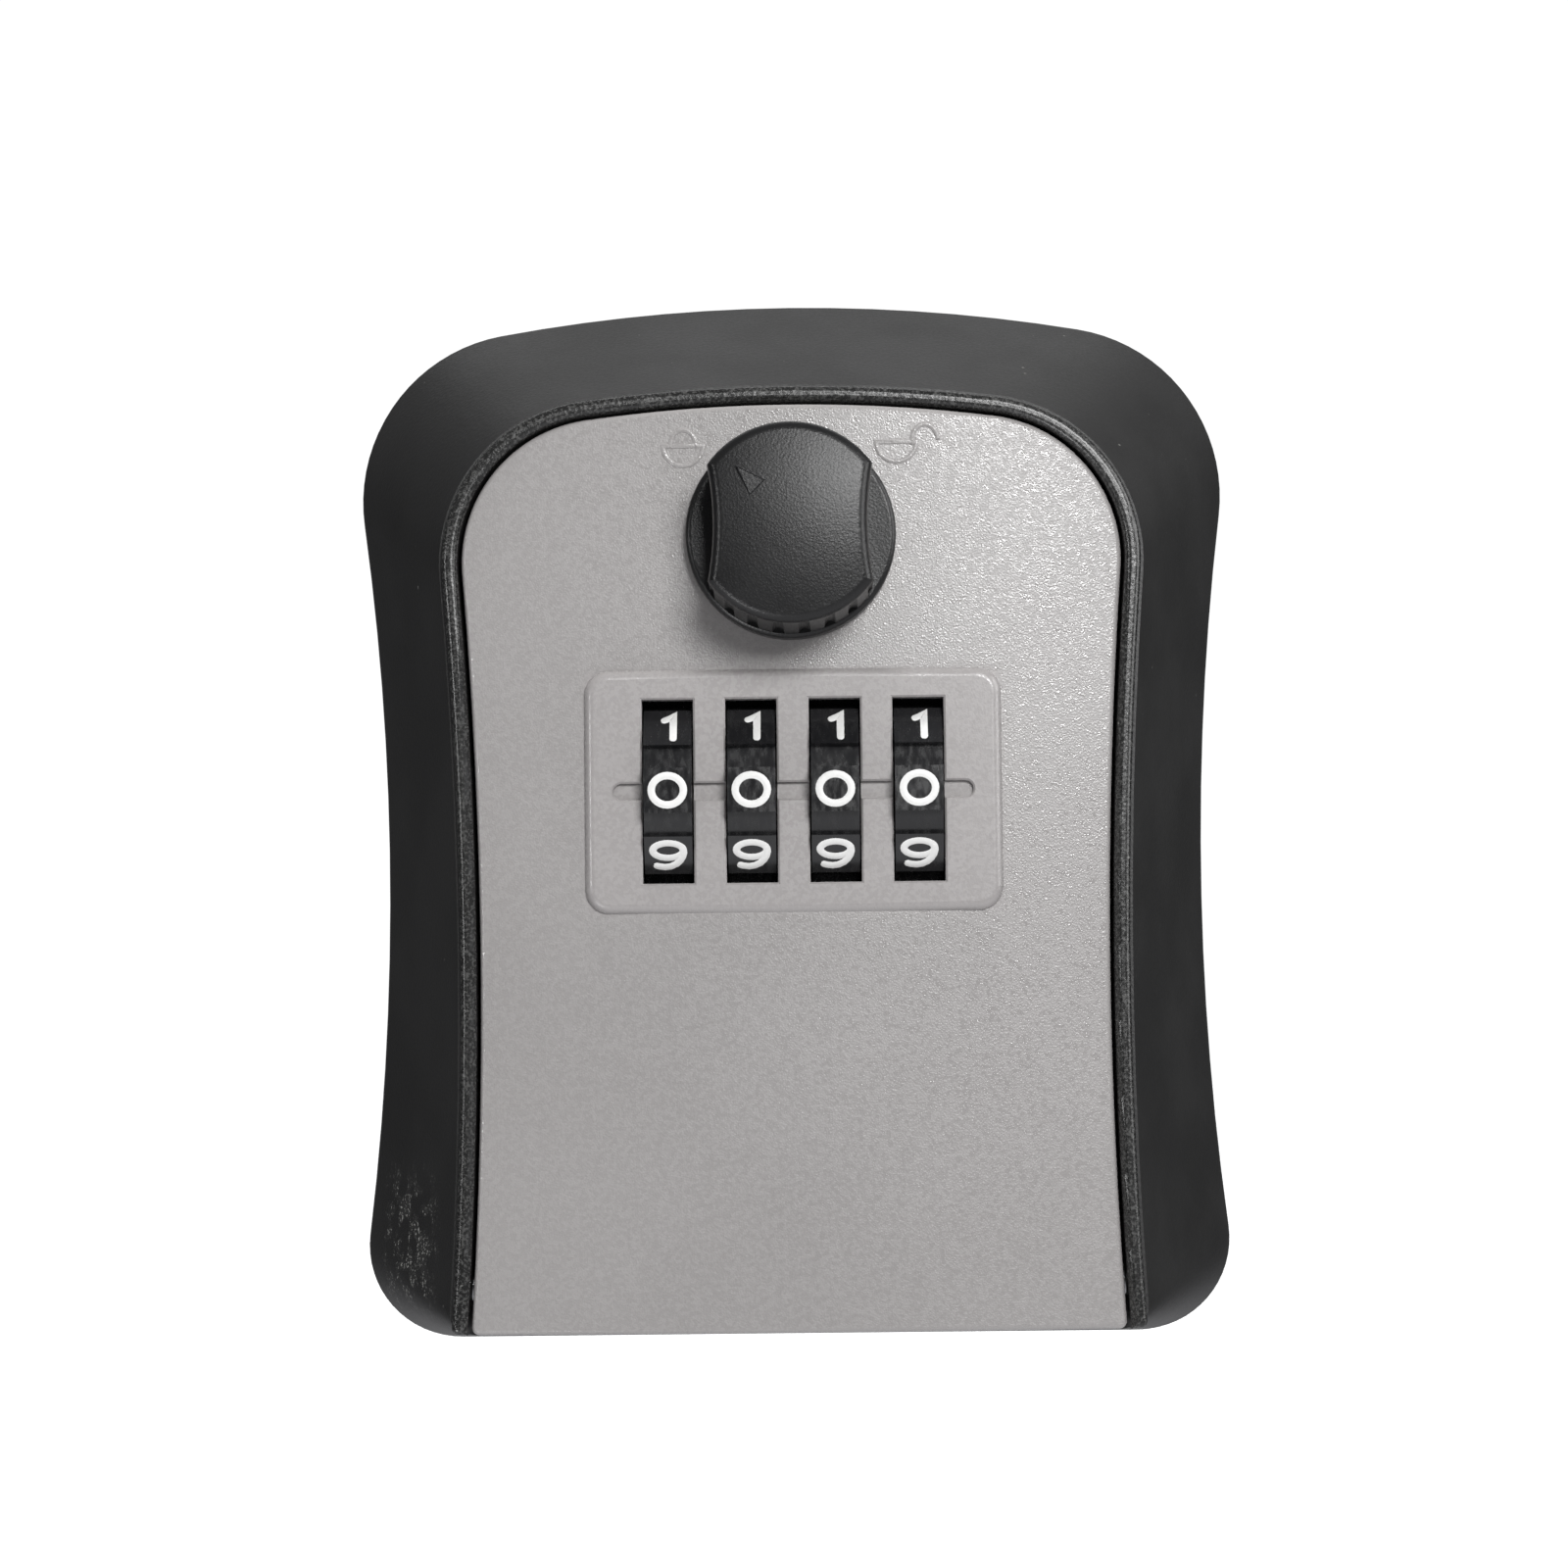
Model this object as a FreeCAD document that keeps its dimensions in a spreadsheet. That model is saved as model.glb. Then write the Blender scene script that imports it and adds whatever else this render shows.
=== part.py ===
"""Wall-mounted key lock box: housing, drop-down door, four number wheels and a knob that works the latch.

Axes of the model: X to the right, Z up, Y into the wall.  The origin is the middle of the four
wall-screw holes, on the back plane.  Most pieces are drawn in the "front frame" of their body, whose
local x is X, local y is Z and local z is the distance out from the wall; the wheels and their sleeves
are drawn along the axle.
"""
import FreeCAD, Part
import math
import os
import re

import Sketcher

Vector = FreeCAD.Vector
Rotation = FreeCAD.Rotation

# Every driving size of the lock box, in millimetres (angles in degrees), as (name, value).
DIMENSIONS = [
    # housing: outline of the rear rim, which is widest near its top and its bottom
    ("rim_top", 57.1), ("rim_top_arc", 188.0), ("rim_corner", 19.15), ("rim_waist", 45.53),
    ("rim_waist_z", -8.0), ("rim_side_arc", 313.5), ("rim_foot", 10.2), ("rim_bottom", -58.2),
    ("rim_depth", 10.0), ("rim_soft", 2.2), ("rim_soft_in", 0.35), ("back_edge", 0.6),
    ("bevel_depth", 35.6), ("bevel_foot", 2.0), ("bevel_bottom", -56.3), ("bevel_margin", 0.35),
    ("ridge_width", 1.7), ("ridge_depth", 37.4), ("ridge_edge", 0.7),
    ("wall", 2.2), ("back_wall", 2.5), ("floor_z", -54.7), ("floor_corner", 3.0), ("floor_front", 24.0),
    ("core_depth", 22.0), ("core_rib", 1.2), ("core_pitch", 9.5), ("core_top", 41.0),
    # wall-screw holes, countersunk from inside
    ("mount_dx", 12.0), ("mount_dz", 34.0), ("mount_hole", 2.6), ("mount_sink", 5.0), ("sink_depth", 1.3),
    # door: its outline, its crowned front and its hollow back
    ("gap", 0.4), ("door_top", 41.9), ("door_top_arc", 177.6), ("door_corner", 15.3), ("door_waist", 33.37),
    ("door_waist_z", -19.7), ("door_side_arc", 552.0), ("door_foot", 0.8), ("door_bottom", -56.4),
    ("crown_depth", 38.0), ("crown_arc", 386.0), ("door_edge", 0.5), ("door_inside", 34.8),
    ("skirt_depth", 31.5), ("skirt", 2.2), ("sill_back", 26.2), ("sill_half", 33.9),
    # hinge along the door's foot
    ("hinge_z", -51.5), ("hinge_depth", 31.5), ("rod", 1.5), ("rod_half", 37.0), ("rod_play", 0.06),
    ("knuckle", 3.4), ("knuckle_in", 25.0), ("knuckle_out", 33.6),
    # dial pad on the door, its four slots and the index groove
    ("dial_z", 0.7), ("pad_half", 22.1), ("pad_tall", 12.9), ("pad_corner", 2.6), ("pad_depth", 38.4),
    ("pad_edge", 1.0), ("pad_inside", 36.0), ("pad_hollow", 14.3), ("pad_hollow_half", 24.8), ("slot", 5.44),
    ("slot_tall", 19.5), ("slot_edge", 0.2), ("groove_half", 19.05), ("groove", 1.75), ("groove_cut", 0.8),
    # number wheels and their code sleeves, on one axle
    ("pitch", 8.85), ("axle_depth", 28.9), ("axle", 2.0), ("axle_play", 0.05), ("wheel_wide", 5.1),
    ("facet", 11.5), ("notch", 2.6), ("notch_floor", 10.75), ("wheel_bore", 5.5), ("dog", 1.2),
    ("dog_deep", 0.7), ("dog_long", 1.0), ("tube", 3.6), ("tube_left", 5.3), ("drum_play", 0.1),
    ("flange", 7.0), ("flange_left", 2.75), ("flange_right", 3.55), ("gate", 3.0), ("gate_deep", 2.3),
    # carrier of the axle
    ("rib", 1.1), ("rib_left", 4.75), ("rib_tall", 6.5), ("rib_back", 24.0), ("rib_hole", 4.0),
    ("beam_low", 11.9), ("beam_thick", 1.5), ("beam_back", 33.0), ("end_left", 10.2), ("end_right", 9.4),
    ("end_plate", 1.5),
    # spring, lever and wedge that free the sleeves when the code is changed
    ("coil", 2.9), ("wire", 0.5), ("coil_turns", 4.0), ("spring_play", 0.02), ("wedge_slope", 0.2),
    ("wedge_back", 3.0), ("wedge_low", -3.8), ("wedge_high", 9.0), ("wedge_play", 0.06), ("fork", 2.3),
    ("fork_high", 7.4), ("lever_travel", 5.0), ("lever_wide", 2.2), ("lever_play", 0.3), ("tab_out", 1.8),
    ("tab_low", 6.0),
    # knob, its spindle and the eccentric on it
    ("knob_z", 27.8), ("knob_base", 38.15), ("knob_flange", 11.15), ("flange_thick", 2.2), ("flange_edge", 0.6),
    ("knob_tall", 13.0), ("grip_foot", 10.7), ("grip_face", 10.5), ("scoop_arc", 31.6), ("scoop_in", 8.0),
    ("grip_edge", 1.1), ("knob_dome", 70.0), ("dome_sweep", 40.0), ("flute", 0.7), ("flute_at", 10.95),
    ("flute_stop", 1.6), ("mark_angle", 134.0), ("mark_tip", 8.0), ("mark_back", 4.8), ("mark_half", 1.15),
    ("mark_under", 0.02), ("mark_edge", 0.12), ("spindle", 3.5), ("spindle_in", 46.0), ("spindle_play", 0.1),
    ("shaft", 3.0), ("cam_front", 30.4), ("cam_back", 27.4), ("cam", 5.0), ("cam_throw", 1.2),
    ("clip", 6.0), ("clip_thick", 0.7), ("clip_play", 0.15), ("clip_mouth", 2.1),
    # fence bar: a yoke round the eccentric, with one tooth above each sleeve
    ("fence_back", 27.7), ("fence_thick", 2.4), ("yoke_gap", 0.45), ("yoke_half", 6.6), ("yoke_rim", 2.0),
    ("fence_low", 13.4), ("fence_beam", 2.6), ("tooth", 0.7), ("tooth_tip", 1.5), ("stem_half", 4.0),
    # latch arm behind the cover, and the striker it turns behind
    ("arm_back", 13.1), ("arm_thick", 1.5), ("arm_hub", 5.5), ("arm_half", 3.5), ("arm_long", 25.5),
    ("arm_rest", -10.0), ("square", 4.4), ("strike_left", 18.5), ("strike_right", 29.0),
    ("strike_sheet", 1.5), ("strike_gap", 0.35), ("lip_z", 28.7), ("strike_top", 34.4), ("strike_low", 17.5),
    ("strike_screw_z", 21.2), ("strike_screw_dx", 2.9), ("strike_bend", 0.6),
    # inner cover: shallow over the spindle, deep over the wheels
    ("cover_half", 27.0), ("cover_top", 37.6), ("cover_bottom", -15.6), ("cover_step", 14.6),
    ("cover_high_back", 20.0), ("cover_deep_back", 15.1), ("cover_wall", 1.6), ("cover_corner", 7.0),
    ("cover_foot", 2.5), ("cover_edge", 1.2), ("cover_play", 0.15), ("boss", 2.8), ("boss_dx", 22.6),
    ("boss_top", 33.4), ("boss_low", -11.2), ("cover_side", 4.2), ("cover_lap", 4.0),
    # screws
    ("screw", 1.3), ("screw_head", 2.3), ("head_tall", 1.4), ("screw_long", 9.0), ("cross", 0.7),
    ("cross_deep", 0.8), ("washer", 4.2), ("washer_thick", 0.8), ("arm_screw", 1.5), ("arm_screw_head", 2.9),
    ("arm_screw_long", 6.0), ("strike_screw", 1.4), ("strike_head", 2.1),
    ("strike_screw_in", 0.3),
    # leaf spring that clicks the wheels
    ("leaf_thick", 0.4), ("leaf_drop", 13.6), ("leaf_finger", 3.4), ("leaf_front", 33.0), ("leaf_spine", 4.0),
    ("leaf_back", 24.0), ("bump", 1.1),
]

DOC = FreeCAD.newDocument("KeyLockBox")
SHEET = DOC.addObject("Spreadsheet::Sheet", "Sheet")
for row, (name, amount) in enumerate(DIMENSIONS, 1):
    SHEET.set(f"A{row}", name)
    SHEET.set(f"B{row}", str(amount))
    SHEET.setAlias(f"B{row}", name)
DOC.recompute()
NAMES = {name for name, amount in DIMENSIONS}

FRONT = Rotation(Vector(1, 0, 0), 90)  # local (x, y, z) becomes (X, Z, distance out from the wall)
ALONG = Rotation(Vector(1, 1, 1), 120)  # local (x, y, z) becomes (Y, Z, X): drawn along the axle
SIDEWAYS = Rotation(Vector(0, 1, 0), 90)  # turns a cylinder's axis from z to x
WHEELS = (0, 1, 2, 3)
PARTS = []


# ---------------------------------------------------------------- sizes and bindings

def sheet_expression(text):
    """The text as a FreeCAD expression, with each size's name pointing at its cell."""
    return re.sub(r"[a-z]\w*", lambda word: "Sheet." + word[0] if word[0] in NAMES else word[0], str(text))


def size(text):
    """The number that an expression gives now."""
    return float(SHEET.evalExpression(sheet_expression(text)))


def bind(item, sizes):
    """Drive properties of an object from the sheet: {property path: expression}."""
    for path, text in sizes.items():
        item.setExpression(path, sheet_expression(text))


def place(item, x=0, y=0, z=0, turn=Rotation(), path="Placement"):
    """Put an object at expressions x, y, z, turned by a fixed rotation."""
    setattr(item, path, FreeCAD.Placement(Vector(), turn))
    bind(item, {f"{path}.Base.x": x, f"{path}.Base.y": y, f"{path}.Base.z": z})


def subpart(label, x=0, y=0, z=0, turn=FRONT):
    """A body that becomes one node of the lock box."""
    body = DOC.addObject("PartDesign::Body", label)
    body.Label = label
    place(body, x, y, z, turn)
    PARTS.append(body)
    return body


def along_axle(label, x):
    """A body drawn along the wheels' axle, with its origin on the axle at x."""
    return subpart(label, x, "-axle_depth", "dial_z", ALONG)


def helper_body(label):
    """A body that is only a tool for a later cut."""
    body = DOC.addObject("PartDesign::Body", label)
    place(body, turn=FRONT)
    return body


# ---------------------------------------------------------------- solid features inside a body

def box(body, name, corner, lengths, cut=False, turn=Rotation()):
    """A box with its low corner and its lengths given as expressions."""
    made = body.newObject("PartDesign::SubtractiveBox" if cut else "PartDesign::AdditiveBox", name)
    bind(made, dict(zip(("Length", "Width", "Height"), lengths)))
    place(made, *corner, turn)
    return made


def slab(body, name, half, low, high, back, front, cut=False):
    """A box centred on x = 0, from low to high and from back to front."""
    corner = (f"-({half})", low, back)
    return box(body, name, corner, (f"2 * ({half})", f"{high} - ({low})", f"{front} - ({back})"), cut)


def cylinder(body, name, radius, centre, long, cut=False, turn=Rotation()):
    """A cylinder that starts at a centre and runs along its own z."""
    made = body.newObject("PartDesign::SubtractiveCylinder" if cut else "PartDesign::AdditiveCylinder", name)
    bind(made, {"Radius": radius, "Height": long})
    place(made, *centre, turn)
    return made


def pattern(body, name, feature, count):
    """Repeat a feature evenly round the body's local z axis."""
    made = body.newObject("PartDesign::PolarPattern", name)
    made.Originals = [feature]
    made.Axis = (origin_feature(body, "Z_Axis"), [""])
    made.Angle = 360
    made.Occurrences = count
    body.Tip = made
    return made


def origin_feature(body, role):
    """One of a body's own origin planes or axes."""
    return next(item for item in body.Origin.OriginFeatures if item.Role == role)


def edges_where(feature, wanted):
    """Names of the edges whose every sampled point satisfies a test."""
    names = []
    for index, edge in enumerate(feature.Shape.Edges, 1):
        if not edge.Degenerated and all(wanted(point) for point in edge.discretize(5)):
            names.append(f"Edge{index}")
    return names


def round_edges(body, name, radius, wanted, kind="Fillet"):
    """Fillet or chamfer the edges that a test picks, in the body's local frame."""
    DOC.recompute()
    base = body.Tip
    names = edges_where(base, wanted)
    if not names:
        raise ValueError(f"{name} found no edge")
    made = body.newObject("PartDesign::" + kind, name)
    made.Base = (base, names)
    bind(made, {"Radius" if kind == "Fillet" else "Size": radius})
    return made


def near(a, b, slack=0.02):
    return abs(a - b) < slack


# ---------------------------------------------------------------- sketches

def sketch(body, name, depth=0, role="XY_Plane", turn=Rotation()):
    """A sketch on one of the body's own planes, moved along its normal by an expression."""
    made = body.newObject("Sketcher::SketchObject", name)
    made.AttachmentSupport = [(origin_feature(body, role), "")]
    made.MapMode = "FlatFace"
    place(made, z=depth, turn=turn, path="AttachmentOffset")
    return made


def constrain(drawing, kind, places, text):
    """A dimension on a sketch, bound to an expression."""
    index = drawing.addConstraint(Sketcher.Constraint(kind, *places, size(text)))
    drawing.setExpression(f"Constraints[{index}]", sheet_expression(text))


def polygon(drawing, points):
    """A closed polygon whose corners are bound to (x, y) expressions."""
    first = drawing.GeometryCount
    spots = [Vector(size(x), size(y), 0) for x, y in points]
    count = len(spots)
    for index in range(count):
        drawing.addGeometry(Part.LineSegment(spots[index], spots[(index + 1) % count]), False)
    for index in range(count):
        following = first + (index + 1) % count
        drawing.addConstraint(Sketcher.Constraint("Coincident", first + index, 2, following, 1))
    for index, (x, y) in enumerate(points):
        constrain(drawing, "DistanceX", (-1, 1, first + index, 1), x)
        constrain(drawing, "DistanceY", (-1, 1, first + index, 1), y)


def circles_meet(x0, y0, r0, x1, y1, r1):
    """The meeting point of two circles that lies further along +y."""
    apart = math.hypot(x1 - x0, y1 - y0)
    along = (r0 ** 2 - r1 ** 2 + apart ** 2) / (2 * apart)
    aside = math.sqrt(r0 ** 2 - along ** 2)
    ux, uy = (x1 - x0) / apart, (y1 - y0) / apart
    spots = [(x0 + along * ux - side * uy, y0 + along * uy + side * ux) for side in (aside, -aside)]
    return max(spots, key=lambda spot: spot[1])


def angle_to(x0, y0, x1, y1):
    return math.atan2(y1 - y0, x1 - x0)


def arc(x, y, radius, start, end):
    return Part.ArcOfCircle(Part.Circle(Vector(x, y, 0), Vector(0, 0, 1), radius), start, end)


def shield(drawing, family, grow="0", bottom=None, foot=None):
    """The lock box's outline: arched top, rounded shoulders, sides curved inwards at the waist, flat foot.

    family is "rim" or "door", whose sizes it takes; grow moves the outline outwards.  Eight tangent pieces,
    anticlockwise from the top arc.
    """
    bottom = bottom or f"{family}_bottom - ({grow})"
    foot = foot or f"{family}_foot"
    top_arc = size(f"{family}_top_arc + ({grow})")
    top_centre = size(f"{family}_top - {family}_top_arc")
    corner = size(f"{family}_corner + ({grow})")
    side_arc = size(f"{family}_side_arc - ({grow})")
    side_x = size(f"{family}_waist + {family}_side_arc")
    side_z = size(f"{family}_waist_z")
    foot_r = size(foot)
    low = size(bottom)

    x, y = circles_meet(0, top_centre, top_arc - corner, side_x, side_z, side_arc + corner)
    foot_y = low + foot_r
    foot_x = side_x - math.sqrt((side_arc + foot_r) ** 2 - (side_z - foot_y) ** 2)
    top_end = angle_to(0, top_centre, x, y)
    shoulder_end = angle_to(x, y, side_x, side_z)
    foot_end = angle_to(foot_x, foot_y, side_x, side_z)
    half = math.pi

    first = drawing.GeometryCount
    drawing.addGeometry([
        arc(0, top_centre, top_arc, top_end, half - top_end),
        arc(-x, y, corner, half - top_end, half - shoulder_end),
        arc(-side_x, side_z, side_arc, -foot_end, -shoulder_end),
        arc(-foot_x, foot_y, foot_r, half - foot_end, 1.5 * half),
        Part.LineSegment(Vector(-foot_x, low, 0), Vector(foot_x, low, 0)),
        arc(foot_x, foot_y, foot_r, -half / 2, foot_end),
        arc(side_x, side_z, side_arc, half + shoulder_end, half + foot_end),
        arc(x, y, corner, shoulder_end, top_end),
    ], False)
    joined = ((0, 2, 1, 1), (1, 2, 2, 2), (2, 1, 3, 1), (3, 2, 4, 1), (4, 2, 5, 1), (5, 2, 6, 2), (6, 1, 7, 1),
              (7, 2, 0, 1))
    for one, end, other, start in joined:
        drawing.addConstraint(Sketcher.Constraint("Tangent", first + one, end, first + other, start))
    drawing.addConstraint(Sketcher.Constraint("PointOnObject", first, 3, -2))
    drawing.addConstraint(Sketcher.Constraint("Horizontal", first + 4))
    for one, other in ((1, 7), (2, 6), (3, 5)):
        drawing.addConstraint(Sketcher.Constraint("Equal", first + one, first + other))
    drawing.addConstraint(Sketcher.Constraint("Symmetric", first + 2, 3, first + 6, 3, -2))
    constrain(drawing, "Radius", (first,), f"{family}_top_arc + ({grow})")
    constrain(drawing, "Radius", (first + 7,), f"{family}_corner + ({grow})")
    constrain(drawing, "Radius", (first + 6,), f"{family}_side_arc - ({grow})")
    constrain(drawing, "Radius", (first + 5,), foot)
    constrain(drawing, "DistanceY", (-1, 1, first, 3), f"{family}_top - {family}_top_arc")
    constrain(drawing, "DistanceX", (-1, 1, first + 6, 3), f"{family}_waist + {family}_side_arc")
    constrain(drawing, "DistanceY", (-1, 1, first + 6, 3), f"{family}_waist_z")
    constrain(drawing, "DistanceY", (-1, 1, first + 4, 1), bottom)


def shield_sketch(body, name, depth, family, **options):
    drawing = sketch(body, name, depth)
    shield(drawing, family, **options)
    return drawing


def pad(body, name, drawing, long):
    """Raise a sketch along its normal."""
    made = body.newObject("PartDesign::Pad", name)
    made.Profile = drawing
    bind(made, {"Length": long})
    return made


def pocket(body, name, drawing, long, outward=True):
    """Cut a sketch along its normal (outward) or against it, and make sure that it cuts."""
    DOC.recompute()
    before = body.Tip.Shape.Volume
    made = body.newObject("PartDesign::Pocket", name)
    made.Profile = drawing
    made.Reversed = outward
    bind(made, {"Length": long})
    DOC.recompute()
    if made.Shape.Volume > before - 0.01:
        raise ValueError(f"{name} cuts nothing")
    return made


def loft(body, name, start, sections):
    made = body.newObject("PartDesign::AdditiveLoft", name)
    made.Profile = start
    made.Sections = sections
    made.Ruled = True
    return made


# ---------------------------------------------------------------- housing, hinge rod, striker

def bevelled_block(body, inset):
    """The housing's outside, or with an inset the inside face of its walls."""
    foot = f"rim_foot - ({inset})"
    low = f"rim_bottom + ({inset})"
    back = shield_sketch(body, body.Label + "_back", 0, "rim", grow=f"-({inset})", bottom=low, foot=foot)
    pad(body, body.Label + "_rim", back, "rim_depth")
    start = shield_sketch(body, body.Label + "_rim_end", "rim_depth", "rim", grow=f"-({inset})", bottom=low,
                          foot=foot)
    end = shield_sketch(body, body.Label + "_bevel_end", "bevel_depth", "door",
                        grow=f"gap + ridge_width + bevel_margin - ({inset})",
                        bottom=f"bevel_bottom + ({inset})", foot=f"max(bevel_foot - ({inset}); 0.5)")
    soft = shield_sketch(body, body.Label + "_rim_soft", "rim_depth + rim_soft", "rim",
                         grow=f"-({inset}) - rim_soft_in", bottom=f"{low} + 0.1", foot=foot)
    loft(body, body.Label + "_bevel", start, [soft, end])


def housing_core():
    """The hollows behind the bevel, open at the back, with a rib left standing every core_pitch."""
    body = helper_body("rim_core")
    bevelled_block(body, "wall")
    inner = shield_sketch(body, "inner_wall", "-1", "door", grow="gap + wall")
    pocket(body, "inner_wall_left", inner, "bevel_depth + 2")
    wide, low, high = "rim_top", "rim_bottom - 1", "rim_top + 1"
    slab(body, "core_end", wide, low, high, "core_depth", "bevel_depth + 1", cut=True)
    for step in range(-5, 5):
        level = f"{step} * core_pitch"
        slab(body, "cross_rib", wide, f"{level} - core_rib / 2", f"{level} + core_rib / 2", "-1",
             "core_depth + 1", cut=True)
    for step in range(-3, 4):
        corner = (f"{step} * core_pitch - core_rib / 2", "core_top", "-1")
        box(body, "upright_rib", corner, ("core_rib", f"{high} - core_top", "core_depth + 2"), cut=True)
    slab(body, "foot_rib", "core_rib / 2", low, 0, "-1", "core_depth + 1", cut=True)
    return body


def housing():
    """The moulded box that stays on the wall."""
    body = DOC.addObject("PartDesign::Body", "housing_shell")
    place(body, turn=FRONT)
    bevelled_block(body, "0")
    ridge = shield_sketch(body, "ridge_outline", "bevel_depth - 4", "door", grow="gap + ridge_width",
                          bottom="door_bottom")
    pad(body, "ridge", ridge, "ridge_depth - bevel_depth + 4")
    round_edges(body, "back_rounding", "back_edge", lambda p: near(p.z, 0))
    mouth = shield_sketch(body, "mouth_outline", "floor_front", "door", grow="gap", bottom="door_bottom - 3")
    pocket(body, "mouth", mouth, "20")
    inside = shield_sketch(body, "inside_outline", "back_wall", "door", grow="gap", bottom="floor_z",
                           foot="floor_corner")
    pocket(body, "inside", inside, "floor_front - back_wall + 0.5")
    front = size("ridge_depth")
    low = size("door_bottom") - 0.1
    round_edges(body, "ridge_rounding", "ridge_edge", lambda p: near(p.z, front) and p.y > low)
    for side in (-1, 1):
        for up in (-1, 1):
            centre = (f"{side} * mount_dx", f"{up} * mount_dz")
            cylinder(body, "wall_hole", "mount_hole", (*centre, "-1"), "back_wall + 2", cut=True)
            sink = body.newObject("PartDesign::SubtractiveCone", "countersink")
            bind(sink, {"Radius1": "mount_hole", "Radius2": "mount_sink", "Height": "sink_depth"})
            place(sink, *centre, "back_wall - sink_depth")
        x = f"(strike_left + strike_right) / 2 + {side} * strike_screw_dx"
        cylinder(body, "striker_hole", "strike_screw", (x, "strike_screw_z", "-1"), "back_wall + 2", cut=True)
    cylinder(body, "rod_hole", "rod", ("-rod_half", "hinge_z", "hinge_depth"), "2 * rod_half", cut=True,
             turn=SIDEWAYS)
    whole = DOC.addObject("Part::Cut", "housing")
    whole.Base = body
    whole.Tool = housing_core()
    whole.Label = "housing"
    PARTS.append(whole)


def hinge_rod():
    """Steel rod through the housing's sides; the door turns on it."""
    rod = DOC.addObject("Part::Cylinder", "hinge_rod")
    rod.Label = "hinge_rod"
    bind(rod, {"Radius": "rod", "Height": "2 * rod_half"})
    place(rod, "-rod_half", "-hinge_depth", "hinge_z", SIDEWAYS)
    PARTS.append(rod)


def striker():
    """Bent steel channel on the back wall; its lip stands in front of the latch arm."""
    body = subpart("striker")
    drawing = sketch(body, "channel", "strike_left", "YZ_Plane")
    front = "arm_back + arm_thick + strike_gap + strike_sheet"
    polygon(drawing, [
        ("strike_low", "back_wall"), ("strike_top", "back_wall"), ("strike_top", front), ("lip_z", front),
        ("lip_z", f"{front} - strike_sheet"), ("strike_top - strike_sheet", f"{front} - strike_sheet"),
        ("strike_top - strike_sheet", "back_wall + strike_sheet"), ("strike_low", "back_wall + strike_sheet")])
    pad(body, "channel_pad", drawing, "strike_right - strike_left")
    top, wall = size("strike_top"), size("back_wall")
    round_edges(body, "bend", "strike_bend", lambda p: near(p.y, top) and p.z > wall + 1)
    for side in (-1, 1):
        x = f"(strike_left + strike_right) / 2 + {side} * strike_screw_dx"
        cylinder(body, "screw_hole", "strike_screw", (x, "strike_screw_z", "back_wall - 1"),
                 "strike_sheet + 2", cut=True)


# ---------------------------------------------------------------- door

def door_panel():
    """The door's outer moulding, with the dial pad, the hinge knuckles and the screw bosses."""
    body = subpart("door_panel")
    outline = shield_sketch(body, "door_outline", "skirt_depth", "door", bottom="door_bottom")
    pad(body, "door_block", outline, "crown_depth - skirt_depth + 1")

    crown(body)
    front, low = size("crown_depth - 2.2"), size("door_bottom")
    round_edges(body, "door_rounding", "door_edge", lambda p: p.z > front and not near(p.y, low, 0.3))
    dial_pad(body)
    hollow = shield_sketch(body, "hollow_outline", "skirt_depth", "door", grow="-skirt",
                           bottom="door_bottom + skirt", foot="1")
    pocket(body, "hollow", hollow, "door_inside - skirt_depth")
    slab(body, "dial_hollow", "pad_hollow_half", "dial_z - pad_hollow", "dial_z + pad_hollow",
         "door_inside - 1", "pad_inside", cut=True)
    cylinder(body, "spindle_hole", "spindle + spindle_play", (0, "knob_z", "skirt_depth"), "10", cut=True)
    slab(body, "sill", "sill_half", "door_bottom", "door_bottom + skirt", "sill_back", "skirt_depth + 1")
    for side in (-1, 1):
        start = "knuckle_in" if side > 0 else "-knuckle_out"
        cylinder(body, "knuckle", "knuckle", (start, "hinge_z", "hinge_depth"), "knuckle_out - knuckle_in",
                 turn=SIDEWAYS)
        for level in ("boss_top", "boss_low"):
            back = "cover_high_back" if level == "boss_top" else "cover_deep_back"
            spot = (f"{side} * boss_dx", level, f"{back} + cover_wall")
            cylinder(body, "boss", "boss", spot, f"door_inside + 0.5 - {back} - cover_wall")
            cylinder(body, "boss_bore", "screw", spot, "screw_long + 0.5", cut=True)
    cylinder(body, "rod_bore", "rod + rod_play", ("-rod_half", "hinge_z", "hinge_depth"), "2 * rod_half",
             cut=True, turn=SIDEWAYS)


def above_arc(drawing, radius, centre, half, top):
    """Draw the area above a shallow arc round (0, centre), within half of the middle and below top."""
    x, y, r, high = size(half), size(centre), size(radius), size(top)
    lean = math.asin(x / r)
    low = y + r * math.cos(lean)
    drawing.addGeometry([
        arc(0, y, r, math.pi / 2 - lean, math.pi / 2 + lean),
        Part.LineSegment(Vector(-x, low, 0), Vector(-x, high, 0)),
        Part.LineSegment(Vector(-x, high, 0), Vector(x, high, 0)),
        Part.LineSegment(Vector(x, high, 0), Vector(x, low, 0)),
    ], False)
    for one, end, other, start in ((0, 2, 1, 1), (1, 2, 2, 1), (2, 2, 3, 1), (3, 2, 0, 1)):
        drawing.addConstraint(Sketcher.Constraint("Coincident", one, end, other, start))
    drawing.addConstraint(Sketcher.Constraint("Vertical", 1))
    drawing.addConstraint(Sketcher.Constraint("Vertical", 3))
    drawing.addConstraint(Sketcher.Constraint("Horizontal", 2))
    drawing.addConstraint(Sketcher.Constraint("PointOnObject", 0, 3, -2))
    constrain(drawing, "Radius", (0,), radius)
    constrain(drawing, "DistanceY", (-1, 1, 0, 3), centre)
    constrain(drawing, "DistanceX", (-1, 1, 2, 2), half)
    constrain(drawing, "DistanceX", (-1, 1, 2, 1), f"-({half})")
    constrain(drawing, "DistanceY", (-1, 1, 2, 2), top)


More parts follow.
